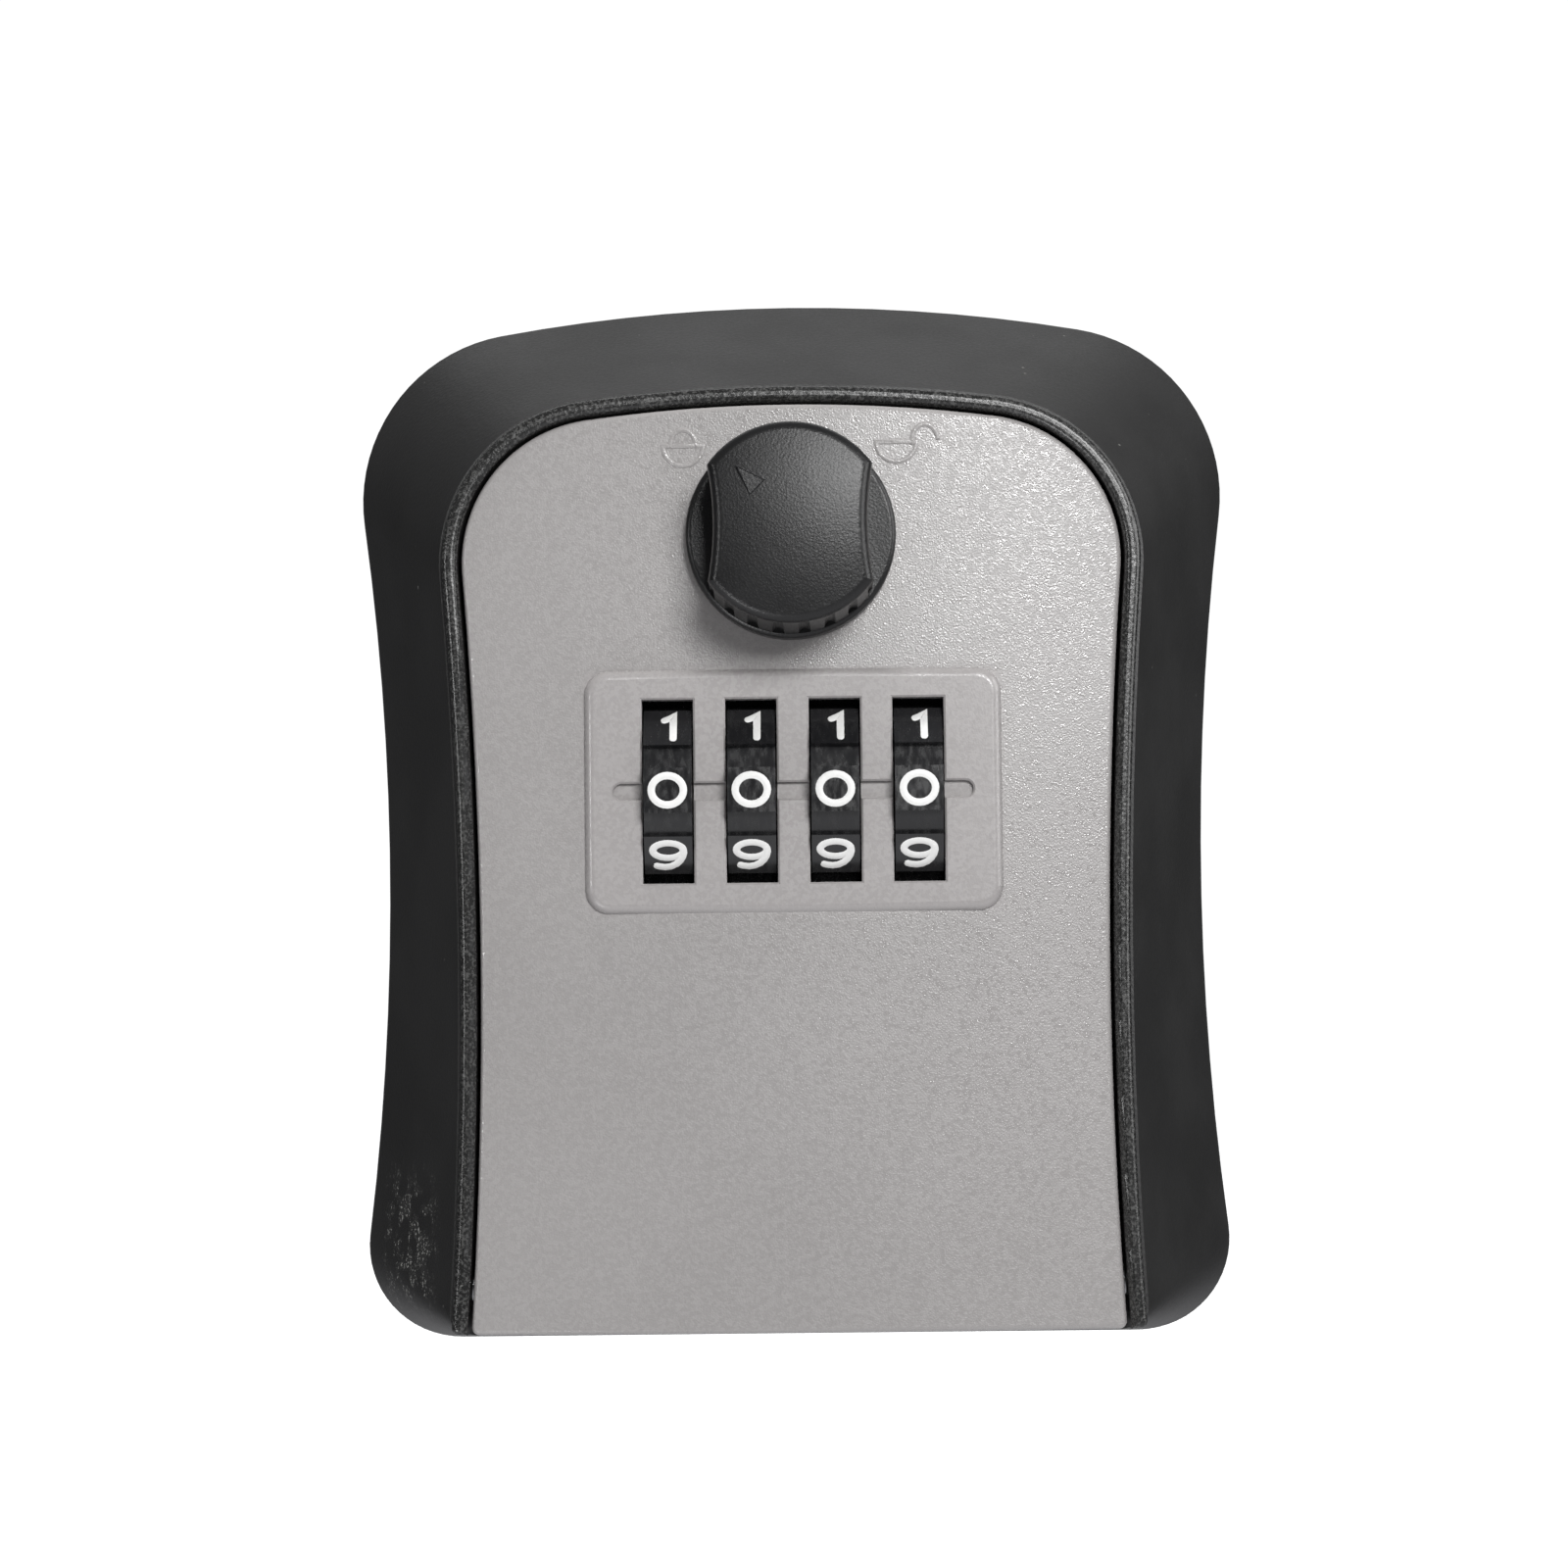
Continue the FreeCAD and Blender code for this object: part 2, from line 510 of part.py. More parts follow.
def crown(body):
    """Cut the door's front to a shallow arc across its width."""
    drawing = sketch(body, "crown_section", "0", "XZ_Plane")
    above_arc(drawing, "crown_arc", "crown_depth - crown_arc", "rim_waist", "crown_depth + 4")
    cut = pocket(body, "crown", drawing, "3 * rim_top")
    cut.Midplane = True


def dial_pad(body):
    """The raised pad round the wheels, with its index groove."""
    slab(body, "dial_pad", "pad_half", "dial_z - pad_tall", "dial_z + pad_tall", "door_inside", "pad_depth")
    half, low, high = size("pad_half"), size("dial_z - pad_tall"), size("dial_z + pad_tall")
    front = size("pad_depth")
    round_edges(body, "pad_corners", "pad_corner",
                lambda p: near(abs(p.x), half) and (near(p.y, low) or near(p.y, high)))
    round_edges(body, "pad_rounding", "pad_edge", lambda p: near(p.z, front))
    for wheel in WHEELS:
        corner = (f"({wheel} - 1.5) * pitch - slot / 2", "dial_z - slot_tall / 2", "door_inside")
        box(body, "slot", corner, ("slot", "slot_tall", "pad_depth - door_inside + 1"), cut=True)
    slab(body, "index_groove", "groove_half - groove / 2", "dial_z - groove / 2", "dial_z + groove / 2",
         "pad_depth - groove_cut", "pad_depth + 1", cut=True)
    for side in (-1, 1):
        centre = (f"{side} * (groove_half - groove / 2)", "dial_z", "pad_depth - groove_cut")
        cylinder(body, "groove_end", "groove / 2", centre, "groove_cut + 1", cut=True)
    reach, rise = size("groove_half") + 0.01, size("slot_tall / 2 + dial_z") + 0.01
    round_edges(body, "slot_edges", "slot_edge", lambda p: near(p.z, front) and abs(p.x) < reach
                and abs(p.y) < rise, kind="Chamfer")


def inner_cover():
    """Moulded cover on the back of the door: shallow over the spindle, deep over the wheels."""
    body = subpart("inner_cover")
    slab(body, "deep_block", "cover_half", "cover_bottom", "cover_step", "cover_deep_back", "door_inside")
    slab(body, "high_block", "cover_half", "cover_step - 1", "cover_top", "cover_high_back", "door_inside")
    half, low, high = size("cover_half"), size("cover_bottom"), size("cover_top")
    step = size("cover_step") + 0.1
    deep, shallow = size("cover_deep_back"), size("cover_high_back")

    def on_back(point):
        return near(point.z, deep if point.y <= step else shallow)

    round_edges(body, "cover_corners", "cover_corner", lambda p: near(abs(p.x), half) and near(p.y, high))
    round_edges(body, "cover_feet", "cover_foot", lambda p: near(abs(p.x), half) and near(p.y, low))
    round_edges(body, "cover_rounding", "cover_edge", on_back)
    slab(body, "deep_hollow", "cover_half - cover_wall", "cover_bottom + cover_wall",
         "cover_step - cover_wall", "cover_deep_back + cover_wall", "door_inside + 1", cut=True)
    slab(body, "high_hollow", "cover_half - cover_side", "cover_step - cover_lap", "cover_top - cover_wall",
         "cover_high_back + cover_wall", "door_inside + 1", cut=True)
    cylinder(body, "shaft_hole", "shaft + spindle_play", (0, "knob_z", "cover_high_back - 1"), "4", cut=True)
    for side in (-1, 1):
        for level in ("boss_top", "boss_low"):
            back = "cover_high_back" if level == "boss_top" else "cover_deep_back"
            spot = (f"{side} * boss_dx", level)
            cylinder(body, "boss_room", "boss + cover_play", (*spot, f"{back} + cover_wall"), "door_inside",
                     cut=True)
            cylinder(body, "cover_hole", "screw", (*spot, f"{back} - 1"), "cover_wall + 2", cut=True)
            cylinder(body, "head_seat", "screw_head + cover_play", (*spot, f"{back} - 1"),
                     "1 + cover_wall / 2", cut=True)
    corner = ("-1.5 * pitch - tube_left - wedge_play - wedge_back - lever_play",
              "dial_z + tab_low - lever_travel - lever_play", "cover_deep_back - 1")
    tall = "lever_travel + wedge_high - tab_low + 2 * lever_play"
    box(body, "lever_slot", corner, ("lever_wide + 2 * lever_play", tall, "cover_wall + 2"), cut=True)


def wheel_carrier():
    """Frame between the door and the cover: five ribs between the wheels, two end plates and two beams."""
    body = subpart("wheel_carrier")
    low, high = "dial_z - beam_low - beam_thick", "dial_z + beam_low + beam_thick"
    first, last = "-1.5 * pitch - end_left", "1.5 * pitch + end_right"
    whole = f"{last} + end_plate - ({first})"
    for level in (low, "dial_z + beam_low"):
        box(body, "beam", (first, level, "beam_back"), (whole, "beam_thick", "pad_inside - beam_back"))
    plates = [(f"({wheel} - 2.5) * pitch + rib_left", "rib", "rib_hole") for wheel in (*WHEELS, 4)]
    plates += [(first, "end_plate", "axle"), (last, "end_plate", "axle")]
    for left, thick, hole in plates:
        box(body, "rib_foot", (left, low, "beam_back"),
            (thick, f"{high} - ({low})", "pad_inside - beam_back"))
        box(body, "rib", (left, "dial_z - rib_tall", "rib_back"),
            (thick, "2 * rib_tall", "pad_inside - rib_back"))
        cylinder(body, "rib_bore", hole, (f"{left} - 0.1", "dial_z", "axle_depth"), f"{thick} + 0.2",
                 cut=True, turn=SIDEWAYS)
    leg = "dial_z - leaf_drop + leaf_thick"
    for left, thick, hole in plates[:5]:
        box(body, "spring_leg", (left, leg, "leaf_back"),
            (thick, f"dial_z - rib_tall + 0.5 - ({leg})", "leaf_spine"))
    for side in (-1, 1):
        cylinder(body, "boss_room", "boss + cover_play", (f"{side} * boss_dx", "boss_low", "beam_back - 1"),
                 "pad_inside - beam_back + 2", cut=True)
        corner = f"{side} * (cover_half - cover_side / 2) - cover_side / 2"
        box(body, "cover_room", (corner, "cover_step - cover_wall - cover_play", "beam_back - 1"),
            ("cover_side", "cover_wall + 1", "pad_inside - beam_back + 2"), cut=True)


def wheel_axle():
    """Steel axle of the four wheels, held by the carrier's end plates."""
    axle = DOC.addObject("Part::Cylinder", "wheel_axle")
    axle.Label = "wheel_axle"
    bind(axle, {"Radius": "axle", "Height": "3 * pitch + end_left + end_right + end_plate"})
    place(axle, "-1.5 * pitch - end_left", "-axle_depth", "dial_z", SIDEWAYS)
    PARTS.append(axle)


def detent_spring():
    """Leaf spring under the wheels, with one finger and one bump for each of them."""
    body = subpart("detent_spring")
    top = "dial_z - leaf_drop + leaf_thick"
    low = "dial_z - leaf_drop"
    slab(body, "spine", "1.5 * pitch + leaf_finger / 2", low, top, "leaf_back", "leaf_back + leaf_spine")
    for wheel in WHEELS:
        left = f"({wheel} - 1.5) * pitch - leaf_finger / 2"
        box(body, "finger", (left, low, "leaf_back + leaf_spine - 0.5"),
            ("leaf_finger", "leaf_thick", "leaf_front - leaf_back - leaf_spine + 0.5"))
        cylinder(body, "bump", "bump", (left, f"{low} + 0.2", "axle_depth"), "leaf_finger",
                 turn=SIDEWAYS)
    slab(body, "bump_trim", "20", f"{low} - 2", low, "leaf_back", "leaf_front", cut=True)


# ---------------------------------------------------------------- wheels, sleeves, reset lever

def number_wheel(wheel):
    """Ten-sided wheel with a grip notch on each corner and ten dog slots in its right-hand face."""
    body = along_axle(f"number_wheel_{wheel + 1}", f"({wheel} - 1.5) * pitch")
    prism = body.newObject("PartDesign::AdditivePrism", "wheel_blank")
    prism.Polygon = 10
    bind(prism, {"Circumradius": "facet / cos(18)", "Height": "wheel_wide"})
    place(prism, z="-wheel_wide / 2", turn=Rotation(Vector(0, 0, 1), 18))
    cylinder(body, "wheel_bore", "wheel_bore", (0, 0, "-wheel_wide / 2 - 1"), "wheel_wide + 2", cut=True)
    corner = ("notch_floor * cos(18) + notch / 2 * sin(18)", "notch_floor * sin(18) - notch / 2 * cos(18)")
    grip = box(body, "grip_notch", (*corner, "-wheel_wide / 2 - 1"), ("notch", "notch", "wheel_wide + 2"),
               cut=True, turn=Rotation(Vector(0, 0, 1), 18))
    pattern(body, "grip_notches", grip, 10)
    dog = box(body, "dog_slot", ("wheel_bore - 1", "-dog / 2", "wheel_wide / 2 - dog_long"),
              ("dog_deep + 1", "dog", "dog_long + 1"), cut=True)
    pattern(body, "dog_slots", dog, 10)


def code_sleeve(wheel):
    """Sleeve inside a wheel: tube, drum in the wheel's bore, lug for its dog slots and gated flange."""
    body = along_axle(f"code_sleeve_{wheel + 1}", f"({wheel} - 1.5) * pitch")
    cylinder(body, "sleeve_tube", "tube", (0, 0, "-tube_left"), "tube_left + flange_right")
    cylinder(body, "drum", "wheel_bore - drum_play", (0, 0, "0.2 - wheel_wide / 2"),
             "flange_left - 0.2 + wheel_wide / 2")
    cylinder(body, "flange_disc", "flange", (0, 0, "flange_left"), "flange_right - flange_left")
    box(body, "lug", ("wheel_bore - 0.5", "0.1 - dog / 2", "wheel_wide / 2 - dog_long + 0.1"),
        ("dog_deep + 0.4", "dog - 0.2", "dog_long - 0.1 + flange_left - wheel_wide / 2 + 0.2"))
    box(body, "gate", ("-gate / 2", "flange - gate_deep", "flange_left - 0.05"),
        ("gate", "gate_deep + 1", "flange_right - flange_left + 1"), cut=True)
    cylinder(body, "sleeve_bore", "axle + axle_play", (0, 0, "-tube_left - 1"),
             "tube_left + flange_right + 2", cut=True)


def reset_lever():
    """Lever whose forked wedge pushes the row of sleeves along the axle; its tab comes out of the cover."""
    body = along_axle("reset_lever", "-1.5 * pitch - tube_left - wedge_play")
    drawing = sketch(body, "wedge_section", "-tube", "YZ_Plane")
    polygon(drawing, [("wedge_low", "-wedge_back"), ("wedge_high", "-wedge_back"),
                      ("wedge_high", "wedge_slope * (wedge_high - tube)"),
                      ("wedge_low", "wedge_slope * (wedge_low - tube)")])
    pad(body, "wedge", drawing, "2 * tube")
    box(body, "fork_slot", ("-fork", "wedge_low - 1", "-wedge_back - 1"),
        ("2 * fork", "fork_high - wedge_low + 1", "wedge_back + 4"), cut=True)
    box(body, "tab", ("tube - 0.5", "tab_low", "-wedge_back"),
        ("axle_depth - cover_deep_back + tab_out - tube + 0.5", "wedge_high - tab_low", "lever_wide"))


# ---------------------------------------------------------------- knob, spindle, latch, fence

def knob():
    """Turning knob: a round flange and a tall domed grip with two scooped sides and a fluted rim."""
    body = subpart("knob", z="knob_z")
    face = "knob_base + knob_tall"
    foot = "knob_base + flange_thick"
    cylinder(body, "knob_flange", "knob_flange", (0, 0, "knob_base"), "flange_thick")
    grip = body.newObject("PartDesign::AdditiveCone", "grip")
    bind(grip, {"Radius1": "grip_foot", "Radius2": "grip_face", "Height": "knob_tall - flange_thick"})
    place(grip, z=foot)
    for side in (-1, 1):
        centre = (f"{side} * (scoop_in + scoop_arc)", 0, foot)
        cylinder(body, "scoop", "scoop_arc", centre, "knob_tall", cut=True)
    dome_knob(body, face)
    top, dome = size(face), size("knob_dome")

    def on_dome(point):
        return near(point.z, top - dome + math.sqrt(dome ** 2 - point.x ** 2 - point.y ** 2), 0.01)

    round_edges(body, "face_rounding", "grip_edge", on_dome)
    flange_top = size(foot)
    rim = size("knob_flange")
    round_edges(body, "flange_rounding", "flange_edge",
                lambda p: near(p.z, flange_top) and near(math.hypot(p.x, p.y), rim))
    spot = ("flute_at * cos(82.5)", "flute_at * sin(82.5)", foot)
    flute = cylinder(body, "flute", "flute", spot, "knob_tall - flange_thick - flute_stop", cut=True)
    pattern(body, "flutes", flute, 24)
    mark = sketch(body, "mark_outline", "knob_base + knob_tall - 1",
                  turn=Rotation(Vector(0, 0, 1), size("mark_angle")))
    polygon(mark, [("mark_back", "-mark_half"), ("mark_tip", 0), ("mark_back", "mark_half")])
    pad(body, "mark", mark, "1 - mark_under")
    round_edges(body, "mark_edges", "mark_edge", lambda p: near(p.z, top - size("mark_under"), 0.001),
                kind="Chamfer")
    cylinder(body, "knob_bore", "spindle", (0, 0, "knob_base - 1"), "spindle_in - knob_base + 1", cut=True)


def dome_knob(body, face):
    """Cut the knob's face to a shallow dome, turned about a line that lies along x."""
    drawing = sketch(body, "dome_section", "0", "XZ_Plane")
    bind(drawing, {"AttachmentOffset.Base.y": f"{face} - knob_dome"})
    above_arc(drawing, "knob_dome", "0", "grip_foot + 1", "knob_dome + 2")
    dome = body.newObject("PartDesign::Groove", "dome")
    dome.Profile = drawing
    dome.ReferenceAxis = (drawing, ["H_Axis"])
    dome.Midplane = True
    bind(dome, {"Angle": "dome_sweep"})


def knob_spindle():
    """Spindle through the door: an eccentric that works the fence, and a square end for the latch arm."""
    body = subpart("knob_spindle", z="knob_z")
    cylinder(body, "spindle_front", "spindle", (0, 0, "cam_front"), "spindle_in - cam_front")
    cylinder(body, "eccentric", "cam", ("cam_throw", 0, "cam_back"), "cam_front - cam_back")
    cylinder(body, "shaft", "shaft", (0, 0, "arm_back + arm_thick"),
             "cam_back - arm_back - arm_thick + 0.5")
    box(body, "square_end", ("-square / 2", "-square / 2", "arm_back"),
        ("square", "square", "arm_thick + 1"))
    cylinder(body, "thread", "arm_screw", (0, 0, "arm_back - 1"), "arm_screw_long + 1.5", cut=True)


def spindle_clip():
    """Retaining ring on the spindle, inside the door."""
    body = subpart("spindle_clip", z="knob_z")
    back = "door_inside - clip_play - clip_thick"
    cylinder(body, "ring", "clip", (0, 0, back), "clip_thick")
    cylinder(body, "ring_hole", "spindle", (0, 0, f"{back} - 1"), "clip_thick + 2", cut=True)
    slab(body, "ring_mouth", "clip_mouth", "-clip - 1", 0, f"{back} - 1", f"{back} + clip_thick + 1",
         cut=True)


def latch_arm():
    """Steel arm on the spindle's square end; its tip turns behind the striker's lip."""
    body = subpart("latch_arm", z="knob_z")
    cylinder(body, "arm_hub", "arm_hub", (0, 0, "arm_back"), "arm_thick")
    tilt = Rotation(Vector(0, 0, 1), size("arm_rest"))
    blade = box(body, "blade", (0, 0, 0), ("arm_long - arm_half", "2 * arm_half", "arm_thick"))
    place(blade, "arm_half * sin(arm_rest)", "-arm_half * cos(arm_rest)", "arm_back", tilt)
    cylinder(body, "arm_tip", "arm_half", ("(arm_long - arm_half) * cos(arm_rest)",
                                           "(arm_long - arm_half) * sin(arm_rest)", "arm_back"), "arm_thick")
    box(body, "square_hole", ("-square / 2", "-square / 2", "arm_back - 1"),
        ("square", "square", "arm_thick + 2"), cut=True)


def arm_washer():
    body = subpart("arm_washer", z="knob_z")
    cylinder(body, "washer", "washer", (0, 0, "arm_back - washer_thick"), "washer_thick")
    cylinder(body, "washer_hole", "arm_screw", (0, 0, "arm_back - washer_thick - 1"),
             "washer_thick + 2", cut=True)


def fence_bar():
    """Flat bar with a yoke round the eccentric and one tooth over the gate of each sleeve."""
    body = subpart("fence_bar")
    back, front = "fence_back", "fence_back + fence_thick"
    low, high = "knob_z - cam - yoke_gap", "knob_z + cam + yoke_gap"
    slab(body, "yoke", "yoke_half + yoke_rim", f"{low} - yoke_rim", f"{high} + yoke_rim", back, front)
    slab(body, "yoke_window", "yoke_half", low, high, f"{back} - 1", f"{front} + 1", cut=True)
    slab(body, "stem", "stem_half", "fence_low + 1", f"{low} - yoke_rim + 0.5", back, front)
    first = "-1.5 * pitch + (flange_left + flange_right - tooth) / 2"
    box(body, "fence_beam", (f"{first} - 1", "fence_low", back),
        ("3 * pitch + tooth + 2", "fence_beam", "fence_thick"))
    for wheel in WHEELS:
        box(body, "tooth", (f"{first} + {wheel} * pitch", "dial_z + flange + tooth_tip", back),
            ("tooth", "fence_low - dial_z - flange - tooth_tip + 1", "fence_thick"))


# ---------------------------------------------------------------- screws and spring

def loose(kind, name, sizes, x, depth, z, turn=FRONT):
    """A Part primitive in the model's axes, at a distance out from the wall."""
    made = DOC.addObject("Part::" + kind, name)
    bind(made, sizes)
    place(made, x, f"-({depth})", z, turn)
    return made


def screw(name, x, seat, z, shank, head, head_tall, long):
    """Pan-head screw driven from the back towards the front, its head behind the seat; cross recess."""
    body = loose("Cylinder", name + "_shank", {"Radius": shank, "Height": long}, x, seat, z)
    back = f"{seat} - {head_tall}"
    cap = loose("Cylinder", name + "_head", {"Radius": head, "Height": head_tall}, x, back, z)
    joined = DOC.addObject("Part::Fuse", name + "_blank")
    joined.Base, joined.Tool = cap, body
    for width, height in (("cross", f"1.3 * {head}"), (f"1.3 * {head}", "cross")):
        lengths = {"Length": width, "Width": height, "Height": "cross_deep + 1"}
        recess = loose("Box", name + "_cross", lengths, f"{x} - {width} / 2", f"{back} - 1",
                       f"{z} - {height} / 2")
        cut = DOC.addObject("Part::Cut", name + "_slotted")
        cut.Base, cut.Tool = joined, recess
        joined = cut
    return joined


def screw_group(label, screws):
    """Screws that are one node, each its own solid."""
    group = DOC.addObject("Part::Compound", label)
    group.Label = label
    group.Links = screws
    PARTS.append(group)


def cover_screws():
    made = []
    for side in (-1, 1):
        for level in ("boss_top", "boss_low"):
            back = "cover_high_back" if level == "boss_top" else "cover_deep_back"
            made.append(screw(f"cover_screw_{len(made)}", f"{side} * boss_dx", f"{back} + cover_wall / 2",
                              level, "screw", "screw_head", "head_tall", "screw_long"))
    screw_group("cover_screws", made)


def striker_screws():
    """Screws whose threads go through the sheet into the back wall, driven from the front."""
    made = []
    for side in (-1, 1):
        x = f"(strike_left + strike_right) / 2 + {side} * strike_screw_dx"
        seat = "back_wall + strike_sheet"
        shank = loose("Cylinder", "striker_shank",
                      {"Radius": "strike_screw", "Height": f"{seat} - strike_screw_in"},
                      x, "strike_screw_in", "strike_screw_z")
        head = loose("Cylinder", "striker_head", {"Radius": "strike_head", "Height": "head_tall"},
                     x, seat, "strike_screw_z")
        joined = DOC.addObject("Part::Fuse", f"striker_screw_{len(made)}")
        joined.Base, joined.Tool = head, shank
        made.append(joined)
    screw_group("striker_screws", made)


def arm_screw():
    """Screw that holds the latch arm on the spindle."""
    made = screw("arm", "0", "arm_back - washer_thick", "knob_z", "arm_screw", "arm_screw_head",
                 "head_tall", "arm_screw_long")
    made.Label = "arm_screw"
    PARTS.append(made)


def reset_spring():
    """Coil spring of square wire round the axle, that pushes the row of sleeves back."""
    start = size("1.5 * pitch + flange_right + wire / 2 + spring_play")
    long = size("end_right - flange_right - wire - 2 * spring_play")
    turns, coil, half = size("coil_turns"), size("coil"), size("wire / 2")
    path = Part.makeHelix(long / turns, long, coil)
    corners = [Vector(coil + x * half, 0, z * half) for x, z in ((-1, -1), (1, -1), (1, 1), (-1, 1), (-1, -1))]
    solid = Part.Wire(path.Edges).makePipeShell([Part.makePolygon(corners)], True, True)
    spring = DOC.addObject("Part::Feature", "reset_spring")
    spring.Label = "reset_spring"
    spring.Shape = solid
    spring.Placement = FreeCAD.Placement(Vector(start, -size("axle_depth"), size("dial_z")), ALONG)
    PARTS.append(spring)


# ---------------------------------------------------------------- build, check, write

def check_document():
    """Stop if any object failed, or any sub-part isn't a valid solid."""
    for item in DOC.Objects:
        if "Invalid" in item.State or "Error" in item.State:
            raise ValueError(f"{item.Name} ({item.Label}) failed: {item.State}")
    for part in PARTS:
        if part.Shape.isNull() or not part.Shape.isValid() or not part.Shape.Solids:
            raise ValueError(f"{part.Label} is not a valid solid")


def build():
    housing()
    hinge_rod()
    striker()
    striker_screws()
    door_panel()
    inner_cover()
    cover_screws()
    wheel_carrier()
    wheel_axle()
    detent_spring()
    reset_spring()
    knob()
    knob_spindle()
    spindle_clip()
    latch_arm()
    arm_washer()
    arm_screw()
    fence_bar()
    for wheel in WHEELS:
        number_wheel(wheel)
        code_sleeve(wheel)
    reset_lever()
    DOC.recompute()
    check_document()
    os.makedirs("parts", exist_ok=True)
    for part in PARTS:
        part.Shape.exportStep(f"parts/{part.Label}.step")
        print(part.Label, len(part.Shape.Solids), round(part.Shape.Volume, 1))


build()
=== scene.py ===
"""Key lock box: materials, printed numbers, lock icons, floor, light and camera round the
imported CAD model."""

import math

import bmesh
import bpy
from mathutils import Matrix, Vector
from mathutils.bvhtree import BVHTree

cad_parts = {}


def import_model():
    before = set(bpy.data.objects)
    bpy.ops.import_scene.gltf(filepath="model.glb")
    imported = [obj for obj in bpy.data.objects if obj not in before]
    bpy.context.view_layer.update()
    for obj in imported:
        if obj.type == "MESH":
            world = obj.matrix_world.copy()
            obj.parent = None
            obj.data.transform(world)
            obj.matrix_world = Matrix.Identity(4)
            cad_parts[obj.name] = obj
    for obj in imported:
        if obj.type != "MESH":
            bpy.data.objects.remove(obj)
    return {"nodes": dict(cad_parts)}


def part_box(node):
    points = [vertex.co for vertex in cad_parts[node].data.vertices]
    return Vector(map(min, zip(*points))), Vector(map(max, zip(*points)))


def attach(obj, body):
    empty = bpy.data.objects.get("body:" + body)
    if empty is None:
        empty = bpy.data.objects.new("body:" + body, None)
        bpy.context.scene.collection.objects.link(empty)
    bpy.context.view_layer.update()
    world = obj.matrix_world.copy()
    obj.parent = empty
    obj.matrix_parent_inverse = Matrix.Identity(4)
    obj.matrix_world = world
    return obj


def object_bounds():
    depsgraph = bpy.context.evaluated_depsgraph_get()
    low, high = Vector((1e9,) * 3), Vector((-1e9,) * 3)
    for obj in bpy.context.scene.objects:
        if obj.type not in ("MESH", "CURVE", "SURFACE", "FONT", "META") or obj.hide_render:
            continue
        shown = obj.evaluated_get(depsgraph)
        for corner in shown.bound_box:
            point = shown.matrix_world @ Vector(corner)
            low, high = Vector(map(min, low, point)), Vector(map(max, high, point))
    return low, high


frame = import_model()
CAD_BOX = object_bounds()
NODES = frame["nodes"]
MM = 0.001
WHEELS = (1, 2, 3, 4)
HINGE_TRAVEL = 105      # degrees that the door opens


# ---------------------------------------------------------------- node graphs

MIX_A, MIX_B, MIX_RESULT = 6, 7, 2      # a Mix node's colour sockets


class Graph:
    """A material's node tree, built from small steps."""

    def __init__(self, name):
        self.material = bpy.data.materials.new(name)
        self.material.use_nodes = True
        self.tree = self.material.node_tree
        self.shader = self.tree.nodes["Principled BSDF"]
        self.place = self.node("ShaderNodeTexCoord").outputs["Object"]

    def node(self, kind, inputs=None, **settings):
        made = self.tree.nodes.new(kind)
        for name, value in settings.items():
            setattr(made, name, value)
        for name, value in (inputs or {}).items():
            self.feed(made.inputs[name], value)
        return made

    def feed(self, socket, value):
        """Link an output to a socket, or set the socket's own value."""
        if isinstance(value, bpy.types.NodeSocket):
            self.tree.links.new(value, socket)
        else:
            socket.default_value = value

    def set(self, **inputs):
        """Feed the shader's sockets, given with _ for spaces."""
        for name, value in inputs.items():
            self.feed(self.shader.inputs[name.replace("_", " ")], value)

    def noise(self, size, detail=2.0, roughness=0.5, where=None):
        """Noise whose features are about as large as size, in metres."""
        made = self.node("ShaderNodeTexNoise", {"Vector": where or self.place, "Scale": 1 / size,
                                                "Detail": detail, "Roughness": roughness})
        return made.outputs["Fac"]

    def cells(self, size, output="Distance"):
        """Cells about as large as size, in metres."""
        made = self.node("ShaderNodeTexVoronoi", {"Vector": self.place, "Scale": 1 / size})
        return made.outputs[output]

    def stretched(self, scale):
        """Coordinates scaled along X, Y and Z."""
        made = self.node("ShaderNodeMapping", {"Vector": self.place, "Scale": scale})
        return made.outputs["Vector"]

    def math(self, operation, a, b=0.0, clamp=False):
        made = self.node("ShaderNodeMath", operation=operation, use_clamp=clamp)
        self.feed(made.inputs[0], a)
        self.feed(made.inputs[1], b)
        return made.outputs[0]

    def times(self, a, b):
        return self.math("MULTIPLY", a, b)

    def plus(self, a, b, clamp=False):
        return self.math("ADD", a, b, clamp)

    def minus(self, a, b):
        return self.math("SUBTRACT", a, b)

    def ramp(self, value, low, high, start=0.0, end=1.0):
        """Value mapped smoothly from low..high to start..end."""
        made = self.node("ShaderNodeMapRange", {"Value": value, "From Min": low, "From Max": high,
                                                "To Min": start, "To Max": end},
                         interpolation_type="SMOOTHSTEP")
        return made.outputs["Result"]

    def spread(self, noise, start=0.0, end=1.0):
        """The middle of a noise's range mapped smoothly to start..end."""
        return self.ramp(noise, 0.3, 0.7, start, end)

    def mix(self, factor, a, b):
        """Colour a at factor 0, colour b at 1."""
        made = self.node("ShaderNodeMix", data_type="RGBA")
        self.feed(made.inputs["Factor"], factor)
        self.feed(made.inputs[MIX_A], a)
        self.feed(made.inputs[MIX_B], b)
        return made.outputs[MIX_RESULT]

    def bump(self, height, depth, normal=None):
        """Normal from a height of 0 to 1, that stands for depth metres."""
        made = self.node("ShaderNodeBump", {"Height": height, "Distance": depth, "Strength": 1.0})
        if normal is not None:
            self.feed(made.inputs["Normal"], normal)
        return made.outputs["Normal"]

    def axes(self):
        split = self.node("ShaderNodeSeparateXYZ", {"Vector": self.place})
        return split.outputs["X"], split.outputs["Y"], split.outputs["Z"]

    def near(self, value, centre, half, soft):
        """1 within half of a centre, falling to 0 over soft."""
        off = self.math("ABSOLUTE", self.minus(value, centre))
        return self.ramp(off, half - soft, half, 1.0, 0.0)


